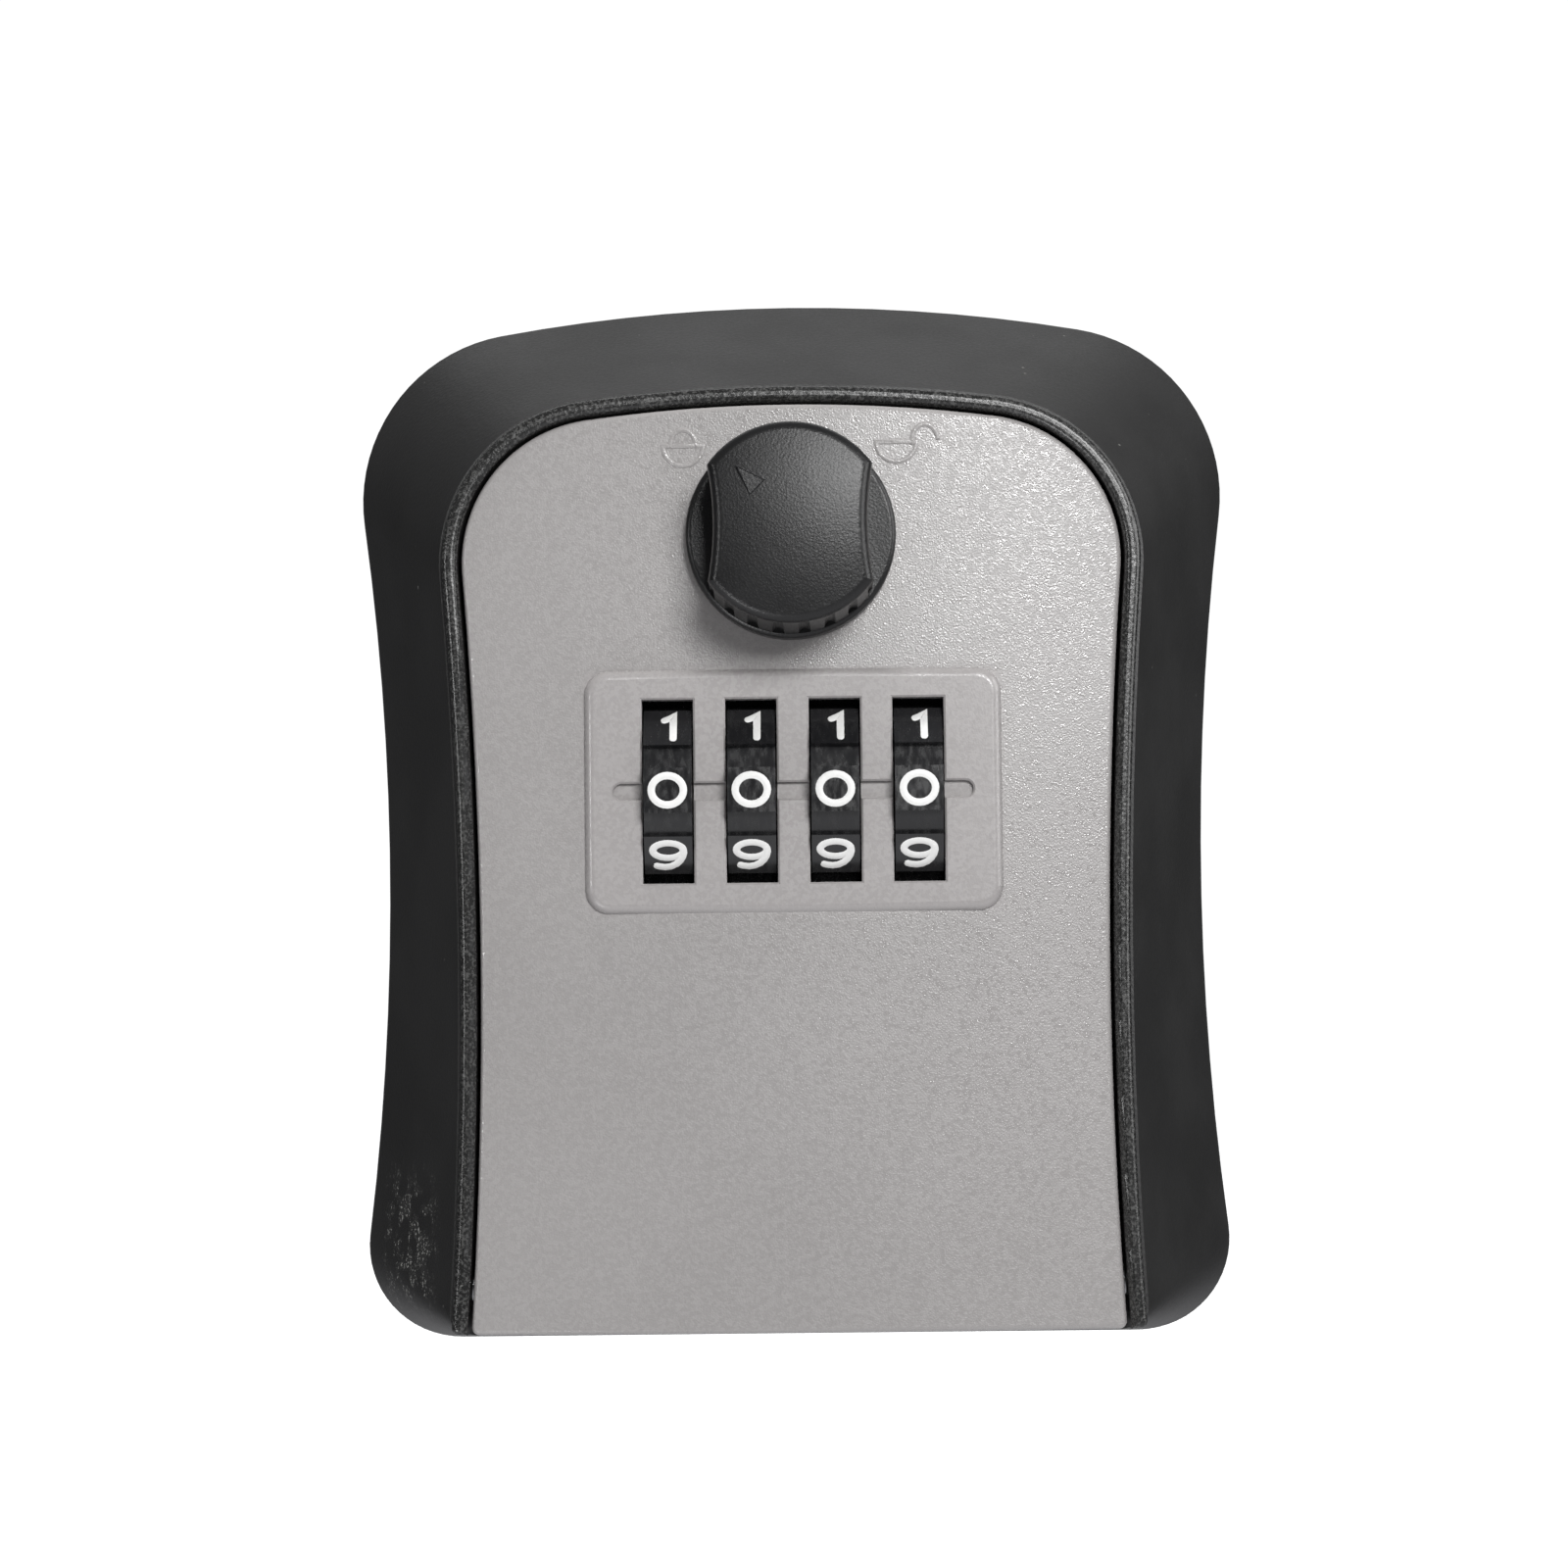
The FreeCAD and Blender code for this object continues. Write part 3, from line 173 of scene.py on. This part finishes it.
def rgb(red, green, blue):
    return (red, green, blue, 1.0)


def tinted(base, factor):
    """A base colour made darker or lighter."""
    return rgb(*[c * factor for c in base])


# ---------------------------------------------------------------- materials

MOULDED_BLACK = (0.0125, 0.0125, 0.0122)
KNOB_BLACK = (0.009, 0.009, 0.0094)
# Grey that the worn ridge's grain peaks are lightened to: partly wear, partly a painted sheen
# standing in for highlight.
RUBBED_AND_SHEEN_GREY = rgb(0.070, 0.070, 0.068)
DUST = rgb(0.50, 0.50, 0.47)
COAT_DARK, COAT_LIGHT = rgb(0.322, 0.309, 0.304), rgb(0.338, 0.325, 0.320)
COAT_PAD = rgb(0.342, 0.326, 0.322)
PAD_HALF_WIDTH, PAD_HALF_HEIGHT, PAD_SOFT = 22.6 * MM, 13.4 * MM, 1.2 * MM


def textured_black(name, base, grain, depth, rough, ior=1.48, scuffs=None, polish_and_sheen=None):
    """Moulded black plastic with a spark-eroded grain of the given size and depth.

    scuffs(g) and the wear mask, if given, say from 0 to 1 where dust lies and where the plastic is
    worn smoother; on the worn part the grain's peaks are lightened towards grey, a painted sheen
    as well as wear.
    """
    g = Graph(name)
    fine = g.noise(grain, 3.0, 0.65)
    pits = g.cells(grain * 1.6)
    cloud = g.noise(14 * MM, 3.0)
    skin = g.plus(g.times(fine, 0.7), g.times(pits, 0.5))
    colour = g.mix(g.spread(cloud), tinted(base, 0.86), tinted(base, 1.14))
    roughness = g.plus(g.spread(cloud, rough - 0.03, rough + 0.04),
                       g.times(g.minus(fine, 0.5), 0.2))
    if polish_and_sheen:
        smoothing, sheen_grain = 0.42, (0.48, 0.62)
        rub_and_sheen = polish_and_sheen(g)
        roughness = g.times(roughness, g.minus(1.0, g.times(rub_and_sheen, smoothing)))
        # Painted sheen: on the worn ridge the grain's peaks are lightened towards grey, standing
        # in for highlight as well as wear.
        colour = g.mix(g.times(rub_and_sheen, g.ramp(fine, *sheen_grain)), colour, RUBBED_AND_SHEEN_GREY)
    if scuffs:
        dust = scuffs(g)
        colour = g.mix(dust, colour, DUST)
        roughness = g.plus(roughness, g.times(dust, 0.3), clamp=True)
    g.set(Base_Color=colour, Roughness=roughness, Normal=g.bump(skin, depth), IOR=ior)
    return g.material


def housing_scuffs(g):
    """Dusty rubs on the lower left of the bevel, and a few specks elsewhere."""
    haze_amount, rub_amount, speck_amount = 0.03, 0.95, 0.35
    x, y, z = g.axes()
    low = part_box("housing")[0]
    left = g.near(x, low.x + 6.2 * MM, 4.2 * MM, 2.6 * MM)
    foot = g.near(z, low.z + 11 * MM, 10 * MM, 7.5 * MM)
    behind_ridge = g.ramp(y, low.y + 3 * MM, low.y + 7 * MM)
    zone = g.times(g.times(left, foot), behind_ridge)
    patch = g.ramp(g.noise(2.2 * MM, 2.0), 0.46, 0.60)
    fleck = g.ramp(g.noise(0.32 * MM, 2.0, 0.6), 0.58, 0.66)
    worn = g.times(zone, patch)
    haze = g.times(worn, haze_amount)
    rubs = g.times(worn, g.times(fleck, rub_amount))
    speck = g.ramp(g.noise(0.9 * MM, 1.0), 0.80, 0.84, 0.0, speck_amount)
    return g.plus(g.plus(haze, rubs), speck, clamp=True)


def ridge_wear_and_sheen(g):
    """The ridge round the door: worn smoother than the rest of the housing, and with its grain
    lightened as a painted sheen.
    """
    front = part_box("housing")[0].y
    y = g.axes()[1]
    return g.ramp(y, front + 0.7 * MM, front + 1.4 * MM, 1.0, 0.0)


def powder_coat():
    """The door's warm grey coat: fine orange peel with bright flakes, smoother on the dial pad."""
    g = Graph("door_coat")
    x, _, z = g.axes()
    low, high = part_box("number_wheel_1")
    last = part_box("number_wheel_4")[1]
    pad_x = g.near(x, (low.x + last.x) / 2, PAD_HALF_WIDTH, PAD_SOFT)
    pad_z = g.near(z, (low.z + high.z) / 2, PAD_HALF_HEIGHT, PAD_SOFT)
    pad = g.times(pad_x, pad_z)
    coarse = g.minus(1.0, g.times(pad, 0.72))
    grain = g.noise(0.22 * MM, 2.0, 0.6)
    pits = g.cells(0.21 * MM)
    flake = g.cells(0.34 * MM, "Color")
    flake_value = g.node("ShaderNodeSeparateColor", {"Color": flake}).outputs[0]
    cloud = g.noise(22 * MM, 2.0)
    colour = g.mix(pad, g.mix(g.spread(cloud), COAT_DARK, COAT_LIGHT), COAT_PAD)
    shine = g.times(g.ramp(flake_value, 0.75, 0.95, 0.0, 0.16), coarse)
    rough = g.minus(g.ramp(flake_value, 0.1, 0.6, 0.40, 0.26), shine)
    skin = g.times(g.plus(g.times(grain, 0.5), g.times(pits, 0.8)), coarse)
    peel = g.bump(g.noise(1.5 * MM, 1.0), 0.006 * MM)
    g.set(Base_Color=colour, Metallic=0.0, Roughness=rough, IOR=1.5,
          Normal=g.bump(skin, 0.024 * MM, peel))
    return g.material


def gloss_black():
    """Polished black plastic of the number wheels, with faint handling marks."""
    g = Graph("wheel_gloss")
    smear = g.noise(1.6 * MM, 3.0, 0.6, g.stretched((2.5, 1.0, 1.0)))
    fine = g.noise(0.18 * MM, 2.0)
    colour = g.mix(smear, rgb(0.008, 0.008, 0.009), rgb(0.016, 0.016, 0.017))
    rough = g.plus(g.ramp(smear, 0.35, 0.7, 0.14, 0.30), g.times(fine, 0.05))
    g.set(Base_Color=colour, Roughness=rough, Normal=g.bump(fine, 0.002 * MM), IOR=1.5)
    return g.material


def print_white():
    """White paint that fills the numbers."""
    g = Graph("number_paint")
    fine = g.noise(0.25 * MM, 2.0)
    colour = g.mix(fine, rgb(0.74, 0.74, 0.72), rgb(0.86, 0.86, 0.85))
    g.set(Base_Color=colour, Roughness=g.spread(fine, 0.38, 0.52), Normal=g.bump(fine, 0.006 * MM))
    return g.material


def plated_steel(name, base, along, rough):
    """Zinc-plated or spring steel: drawn lines along one axis, spangle and dull spots."""
    g = Graph(name)
    lines = g.noise(0.5 * MM, 3.0, 0.6, g.stretched(along))
    spangle = g.noise(2.2 * MM, 3.0)
    colour = g.mix(spangle, tinted(base, 0.88), rgb(*base))
    value = g.plus(g.spread(spangle, rough - 0.05, rough + 0.08), g.times(lines, 0.12))
    g.set(Base_Color=colour, Metallic=1.0, Roughness=value, Normal=g.bump(lines, 0.006 * MM))
    return g.material


def nylon():
    """Natural nylon of the sleeves and the lever: milky and cloudy."""
    g = Graph("sleeve_nylon")
    cloud = g.noise(3 * MM, 3.0)
    colour = g.mix(cloud, rgb(0.62, 0.60, 0.54), rgb(0.74, 0.72, 0.67))
    g.set(Base_Color=colour, Roughness=g.spread(cloud, 0.40, 0.55),
          Normal=g.bump(g.noise(0.3 * MM), 0.004 * MM), IOR=1.53)
    return g.material


def dress(material, *names):
    """Give CAD nodes a material through their own slots."""
    for name in names:
        node = NODES[name]
        if not node.material_slots:
            node.data.materials.append(material)
        for slot in node.material_slots:
            slot.material = material


def dress_nodes():
    """Every CAD node's material."""
    wheels = [f"number_wheel_{k}" for k in WHEELS]
    sleeves = [f"code_sleeve_{k}" for k in WHEELS]
    dress(textured_black("housing_black", MOULDED_BLACK, grain=0.30 * MM, depth=0.026 * MM,
                         rough=0.46, scuffs=housing_scuffs, polish_and_sheen=ridge_wear_and_sheen), "housing")
    dress(textured_black("knob_black", KNOB_BLACK, grain=0.18 * MM, depth=0.024 * MM,
                         rough=0.32, ior=1.38), "knob")
    dress(textured_black("cover_black", MOULDED_BLACK, grain=0.50 * MM, depth=0.016 * MM,
                         rough=0.52), "inner_cover", "wheel_carrier")
    dress(powder_coat(), "door_panel")
    dress(gloss_black(), *wheels)
    dress(nylon(), "reset_lever", *sleeves)
    plated = plated_steel("zinc_plate", (0.60, 0.61, 0.62), along=(1.0, 1.0, 0.06), rough=0.30)
    dress(plated, "striker", "striker_screws", "cover_screws", "latch_arm", "arm_washer",
          "arm_screw", "fence_bar", "spindle_clip", "knob_spindle")
    drawn = plated_steel("drawn_steel", (0.56, 0.56, 0.57), along=(0.05, 1.0, 1.0), rough=0.24)
    dress(drawn, "hinge_rod", "wheel_axle", "detent_spring", "reset_spring")


# ---------------------------------------------------------------- strokes: numbers and icons

# Ridges that strokes are drawn with, in millimetres: width, foot below the surface, height above
# it, what each further stroke adds to the height, and how far the edges are softened.
NUMBER_RIDGE = (0.78, -0.05, 0.045, 0.004, 0.05)
ICON_RIDGE = (0.50, -0.1, 0.15, 0.006, 0.12)
SHARP_ANGLE = math.radians(35)


def oval(x, y, across, up, start=0, end=360, steps=28):
    """Points of an ellipse's arc, in degrees from +x."""
    turns = [math.radians(start + (end - start) * k / steps) for k in range(steps + 1)]
    return [(x + across * math.cos(t), y + up * math.sin(t)) for t in turns]


def side_steps(points, closed):
    """For each point of a stroke, the step to its left edge per unit of half-width."""
    count = len(points)
    steps = []
    for k, (x, y) in enumerate(points):
        before = points[k - 1] if k or closed else None
        after = points[(k + 1) % count] if k < count - 1 or closed else None
        lefts = []
        for (ax, ay), (bx, by) in ((before or (x, y), (x, y)), ((x, y), after or (x, y))):
            long = math.hypot(bx - ax, by - ay)
            if long:
                lefts.append(((ay - by) / long, (bx - ax) / long))
        nx = sum(left[0] for left in lefts) / len(lefts)
        ny = sum(left[1] for left in lefts) / len(lefts)
        square = max(nx * nx + ny * ny, 0.2)
        steps.append((nx / square, ny / square))
    return steps


CAP_TURNS = (25, 50, 72)        # degrees round a stroke's end


def outline_rows(points, half, closed):
    """Left and right edge points of a stroke; an open one gets round ends."""
    steps = side_steps(points, closed)
    rows = [((x + half * nx, y + half * ny), (x - half * nx, y - half * ny))
            for (x, y), (nx, ny) in zip(points, steps)]
    if closed:
        return rows
    ends = []
    for (x, y), (nx, ny), way in ((points[0], steps[0], -1), (points[-1], steps[-1], 1)):
        fx, fy = way * ny, -way * nx
        cap = []
        for turn in CAP_TURNS:
            c, s = half * math.cos(math.radians(turn)), half * math.sin(math.radians(turn))
            cap.append(((x + c * nx + s * fx, y + c * ny + s * fy),
                        (x - c * nx + s * fx, y - c * ny + s * fy)))
        ends.append(cap)
    return ends[0][::-1] + rows + ends[1]


def add_stroke(shape, points, width, foot, top, soft, place):
    """Sweep a low ridge with softened edges along a stroke into a mesh.

    place(x, y, height) gives the point in the model's frame.
    """
    closed = points[0] == points[-1] or math.dist(points[0], points[-1]) < 1e-6
    path = points[:-1] if closed else points
    outer = outline_rows(path, width / 2, closed)
    inner = outline_rows(path, width / 2 - soft, closed)
    rings = []
    for (left, right), (left_in, right_in) in zip(outer, inner):
        section = [(left, foot), (left, top - soft * 0.6), (left_in, top), (right_in, top),
                   (right, top - soft * 0.6), (right, foot)]
        rings.append([shape.verts.new(place(x, y, height)) for (x, y), height in section])
    pairs = list(zip(rings, rings[1:] + rings[:1])) if closed else list(zip(rings, rings[1:]))
    sides = len(rings[0])
    for one, other in pairs:
        for k in range(sides):
            after = (k + 1) % sides
            shape.faces.new((one[k], one[after], other[after], other[k]))
    if not closed:
        shape.faces.new(rings[0][::-1])
        shape.faces.new(rings[-1])


def add_strokes(shape, strokes, ridge, place):
    """Add a figure's strokes, each a little higher than the last so that no two tops coincide."""
    width, foot, top, step, soft = ridge
    for layer, stroke in enumerate(strokes):
        add_stroke(shape, stroke, width, foot, top + step * layer, soft, place)


def finished(name, shape, material, body):
    """Turn a bmesh into a piece that rides on a body."""
    bmesh.ops.recalc_face_normals(shape, faces=shape.faces)
    mesh = bpy.data.meshes.new(name)
    shape.to_mesh(mesh)
    shape.free()
    mesh.materials.append(material)
    piece = bpy.data.objects.new(name, mesh)
    bpy.context.scene.collection.objects.link(piece)
    for polygon in mesh.polygons:
        polygon.use_smooth = True
    mesh.set_sharp_from_angle(angle=SHARP_ANGLE)
    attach(piece, body)
    return piece


# Centrelines of the numbers in millimetres, drawn wide and round: x to the right, y up the facet.
NINE = [oval(-0.04, 0.62, 1.62, 0.93),
        [(1.56, 0.75), (1.60, 0.35), (1.48, -0.15), (1.22, -0.65), (0.82, -1.08), (0.25, -1.38),
         (-0.35, -1.48), (-0.95, -1.40), (-1.25, -1.30)]]
DIGITS = {
    0: [oval(0, 0, 1.70, 1.55)],
    1: [[(-0.33, 0.98), (0.22, 1.26), (0.62, 1.52), (0.62, -1.52)]],
    2: [oval(0, 0.70, 1.52, 0.84, 168, -14) + [(1.20, 0.10), (-1.50, -1.52), (1.60, -1.52)]],
    3: [oval(-0.10, 0.78, 1.42, 0.76, 158, -90, 20), oval(-0.10, -0.74, 1.66, 0.80, 90, -158, 22)],
    4: [[(0.72, -1.54), (0.72, 1.52), (-1.62, -0.62), (1.64, -0.62)]],
    5: [[(1.38, 1.52), (-1.20, 1.52), (-1.38, 0.16)]
        + oval(-0.06, -0.52, 1.66, 1.00, 132, -152, 24)],
    6: [[(-x, -y) for x, y in stroke] for stroke in NINE],
    7: [[(-1.56, 1.52), (1.56, 1.52), (0.40, 0.10), (-0.30, -1.54)]],
    8: [oval(0, 0.80, 1.34, 0.74), oval(0, -0.76, 1.66, 0.80)],
    9: NINE,
}


def wheel_numbers(wheel, paint):
    """Ten numbers on one wheel's facets, the next higher number above the last."""
    low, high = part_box(f"number_wheel_{wheel}")
    axle = (low + high) / 2
    facet = (high.y - low.y) / 2
    shape = bmesh.new()
    for digit, strokes in DIGITS.items():
        turn = math.radians(360 / len(DIGITS) * digit)
        out = Vector((0, -math.cos(turn), math.sin(turn)))
        up = Vector((0, math.sin(turn), math.cos(turn)))

        def place(x, y, height):
            return axle + Vector((x * MM, 0, 0)) + up * (y * MM) + out * (facet + height * MM)

        add_strokes(shape, strokes, NUMBER_RIDGE, place)
    return finished(f"numbers_{wheel}", shape, paint, f"dial_{wheel}")


def door_icons(material):
    """Embossed outlines beside the knob: a closed padlock and an open one."""
    door = NODES["door_panel"]
    surface = BVHTree.FromPolygons([v.co for v in door.data.vertices],
                                   [p.vertices for p in door.data.polygons])
    knob_low, knob_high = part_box("knob")
    centre = (knob_low + knob_high) / 2
    start_y = knob_low.y - 50 * MM
    bowl = oval(0, 0, 2.15, 2.12, 180, 360, 20) + [(-2.15, 0.0)]
    closed_shackle = oval(0, 0, 1.35, 1.72, 180, 0, 18)
    open_shackle = oval(3.05, 0.15, 1.38, 1.72, 190, 8, 18)
    icons = {"icon_closed": ((-11.35, 9.75), (bowl, closed_shackle)),
             "icon_open": ((11.35, 9.95), (bowl, open_shackle))}
    for name, ((right, above), strokes) in icons.items():
        shape = bmesh.new()

        def place(x, y, height):
            spot = Vector((centre.x + (right + x) * MM, start_y, centre.z + (above + y) * MM))
            hit = surface.ray_cast(spot, Vector((0, 1, 0)))[0]
            return hit - Vector((0, height * MM, 0))

        add_strokes(shape, strokes, ICON_RIDGE, place)
        piece = finished(name, shape, material, "door")


# ---------------------------------------------------------------- floor, light, camera

FLOOR_RADIUS, FLOOR_GAP = 9.0, 5 * MM
FLOOR_DARK, FLOOR_LIGHT, FLOOR_GLOW = rgb(0.86, 0.86, 0.86), rgb(0.88, 0.88, 0.88), 0.32

# The studio round the box, from straight below (0) to straight above (1): where, and how bright.
SKY_LEVELS = ((0.20, 0.95), (0.40, 0.10), (0.55, 0.05), (0.90, 0.24))
SKY_BLUE, BACKDROP = 1.03, 1.05

# Lamps: place from the middle of the box, width and height in metres, power in watts, and the
# one kind of light that the lamp does not give, if any.
LAMPS = {
    "key": ((0.16, -0.64, 0.23), 0.22, 0.22, 4.0, None),
    "fill": ((-0.55, -1.1, 0.55), 1.0, 1.0, 0.8, "visible_glossy"),
    "overhead": ((0.0, 0.55, 0.70), 0.9, 0.35, 0.70, None),
    "left_gleam": ((-0.85, -0.75, 0.09), 0.08, 0.20, 2.0, "visible_diffuse"),
    "low_gleam": ((-0.45, -0.75, -0.55), 0.25, 0.25, 2.6, "visible_diffuse"),
    "right_gleam": ((0.95, -0.38, 0.36), 0.70, 0.80, 9.5, "visible_diffuse"),
}
SUN_POWER, SUN_ANGLE, SUN_PLACE = 2.6, math.radians(20), (0.0, -0.02, 1.0)

# The camera: the point it looks at across and up, its direction and roll, distance and lens.
AIM_X, AIM_Z = -0.99 * MM, 1.35 * MM
AZIMUTH, ELEVATION, ROLL = math.radians(0.35), math.radians(-3.6), math.radians(0.62)
DISTANCE, FOCAL_LENGTH, SENSOR_WIDTH = 0.450, 97.7, 36.0


def aim(item, location, target):
    """Put a lamp at a place and point it at a target."""
    item.location = location
    item.rotation_euler = (Vector(target) - Vector(location)).to_track_quat("-Z", "Y").to_euler()


def soft_box(name, location, target, width, height, power):
    """A rectangular lamp."""
    light = bpy.data.lights.new(name, "AREA")
    light.shape = "RECTANGLE"
    light.size, light.size_y = width, height
    light.energy = power
    item = bpy.data.objects.new(name, light)
    bpy.context.scene.collection.objects.link(item)
    aim(item, location, target)
    return item


def floor():
    """Plain pale floor, as far under the hung box as its open door reaches.

    It glows a little, and is left out of reflections, shadows and bounced light.
    """
    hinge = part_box("hinge_rod")[0].z
    door_top, knob_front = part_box("door_panel")[1].z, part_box("knob")[0].y
    past_level = math.radians(HINGE_TRAVEL - 90)
    reach = (door_top - hinge) * math.sin(past_level) - (knob_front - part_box("hinge_rod")[1].y)
    shape = bmesh.new()
    bmesh.ops.create_circle(shape, cap_ends=True, segments=96, radius=FLOOR_RADIUS)
    mesh = bpy.data.meshes.new("floor")
    shape.to_mesh(mesh)
    shape.free()
    item = bpy.data.objects.new("floor", mesh)
    item.location.z = hinge - reach - FLOOR_GAP
    bpy.context.scene.collection.objects.link(item)
    g = Graph("floor_pale")
    cloud = g.noise(0.25, 3.0)
    g.set(Base_Color=g.mix(cloud, FLOOR_DARK, FLOOR_LIGHT), Roughness=0.75,
          Emission_Color=rgb(1.0, 1.0, 1.0), Emission_Strength=FLOOR_GLOW)
    mesh.materials.append(g.material)
    item.visible_diffuse = False
    item.visible_glossy = False
    item.visible_shadow = False


def world():
    """White to the camera; to all else a dim studio, lighter above and below than at the sides."""
    sky = bpy.data.worlds.new("studio")
    bpy.context.scene.world = sky
    sky.use_nodes = True
    nodes, links = sky.node_tree.nodes, sky.node_tree.links
    light = nodes["Background"]
    light.inputs["Strength"].default_value = 1.0
    coordinates = nodes.new("ShaderNodeTexCoord")
    split = nodes.new("ShaderNodeSeparateXYZ")
    links.new(coordinates.outputs["Generated"], split.inputs[0])
    rise = nodes.new("ShaderNodeMapRange")
    rise.inputs["From Min"].default_value = -1.0
    links.new(split.outputs["Z"], rise.inputs["Value"])
    bands = nodes.new("ShaderNodeValToRGB")
    while len(bands.color_ramp.elements) < len(SKY_LEVELS):
        bands.color_ramp.elements.new(0.5)
    for stop, (position, level) in zip(bands.color_ramp.elements, SKY_LEVELS):
        stop.position = position
        stop.color = rgb(level, level, level * SKY_BLUE)
    links.new(rise.outputs["Result"], bands.inputs["Fac"])
    links.new(bands.outputs["Color"], light.inputs["Color"])
    white = nodes.new("ShaderNodeBackground")
    white.inputs["Color"].default_value = rgb(1, 1, 1)
    white.inputs["Strength"].default_value = BACKDROP
    ray = nodes.new("ShaderNodeLightPath")
    choose = nodes.new("ShaderNodeMixShader")
    links.new(ray.outputs["Is Camera Ray"], choose.inputs[0])
    links.new(light.outputs[0], choose.inputs[1])
    links.new(white.outputs[0], choose.inputs[2])
    links.new(choose.outputs[0], nodes["World Output"].inputs["Surface"])


def lights():
    """The lamps round the box and a soft sun that lights the floor.

    The gleams are cards seen only in reflections.
    """
    low, high = CAD_BOX
    middle = (low + high) / 2
    for name, (place, width, height, power, without) in LAMPS.items():
        lamp = soft_box(name, middle + Vector(place), middle, width, height, power)
        if without:
            setattr(lamp, without, False)
    sun = bpy.data.lights.new("floor_light", "SUN")
    sun.energy = SUN_POWER
    sun.angle = SUN_ANGLE
    item = bpy.data.objects.new("floor_light", sun)
    item.visible_glossy = False
    bpy.context.scene.collection.objects.link(item)
    aim(item, SUN_PLACE, (0, 0, 0))


def camera():
    """A long lens just below the middle of the box, a little to its right."""
    door_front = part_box("door_panel")[0].y
    target = Vector((AIM_X, door_front, AIM_Z))
    back = Vector((math.sin(AZIMUTH) * math.cos(ELEVATION),
                   -math.cos(AZIMUTH) * math.cos(ELEVATION), math.sin(ELEVATION)))
    lens = bpy.data.cameras.new("camera")
    lens.sensor_width = SENSOR_WIDTH
    lens.lens = FOCAL_LENGTH
    lens.clip_start, lens.clip_end = 0.01, 100.0
    item = bpy.data.objects.new("camera", lens)
    bpy.context.scene.collection.objects.link(item)
    item.location = target + back * DISTANCE
    turn = (-back).to_track_quat("-Z", "Y").to_matrix()
    item.rotation_euler = (turn @ Matrix.Rotation(-ROLL, 3, "Z")).to_euler()
    bpy.context.scene.camera = item


dress_nodes()
paint = print_white()
for wheel in WHEELS:
    wheel_numbers(wheel, paint)
door_icons(NODES["door_panel"].material_slots[0].material)
floor()
world()
lights()
camera()
bpy.context.scene.view_settings.view_transform = "Standard"
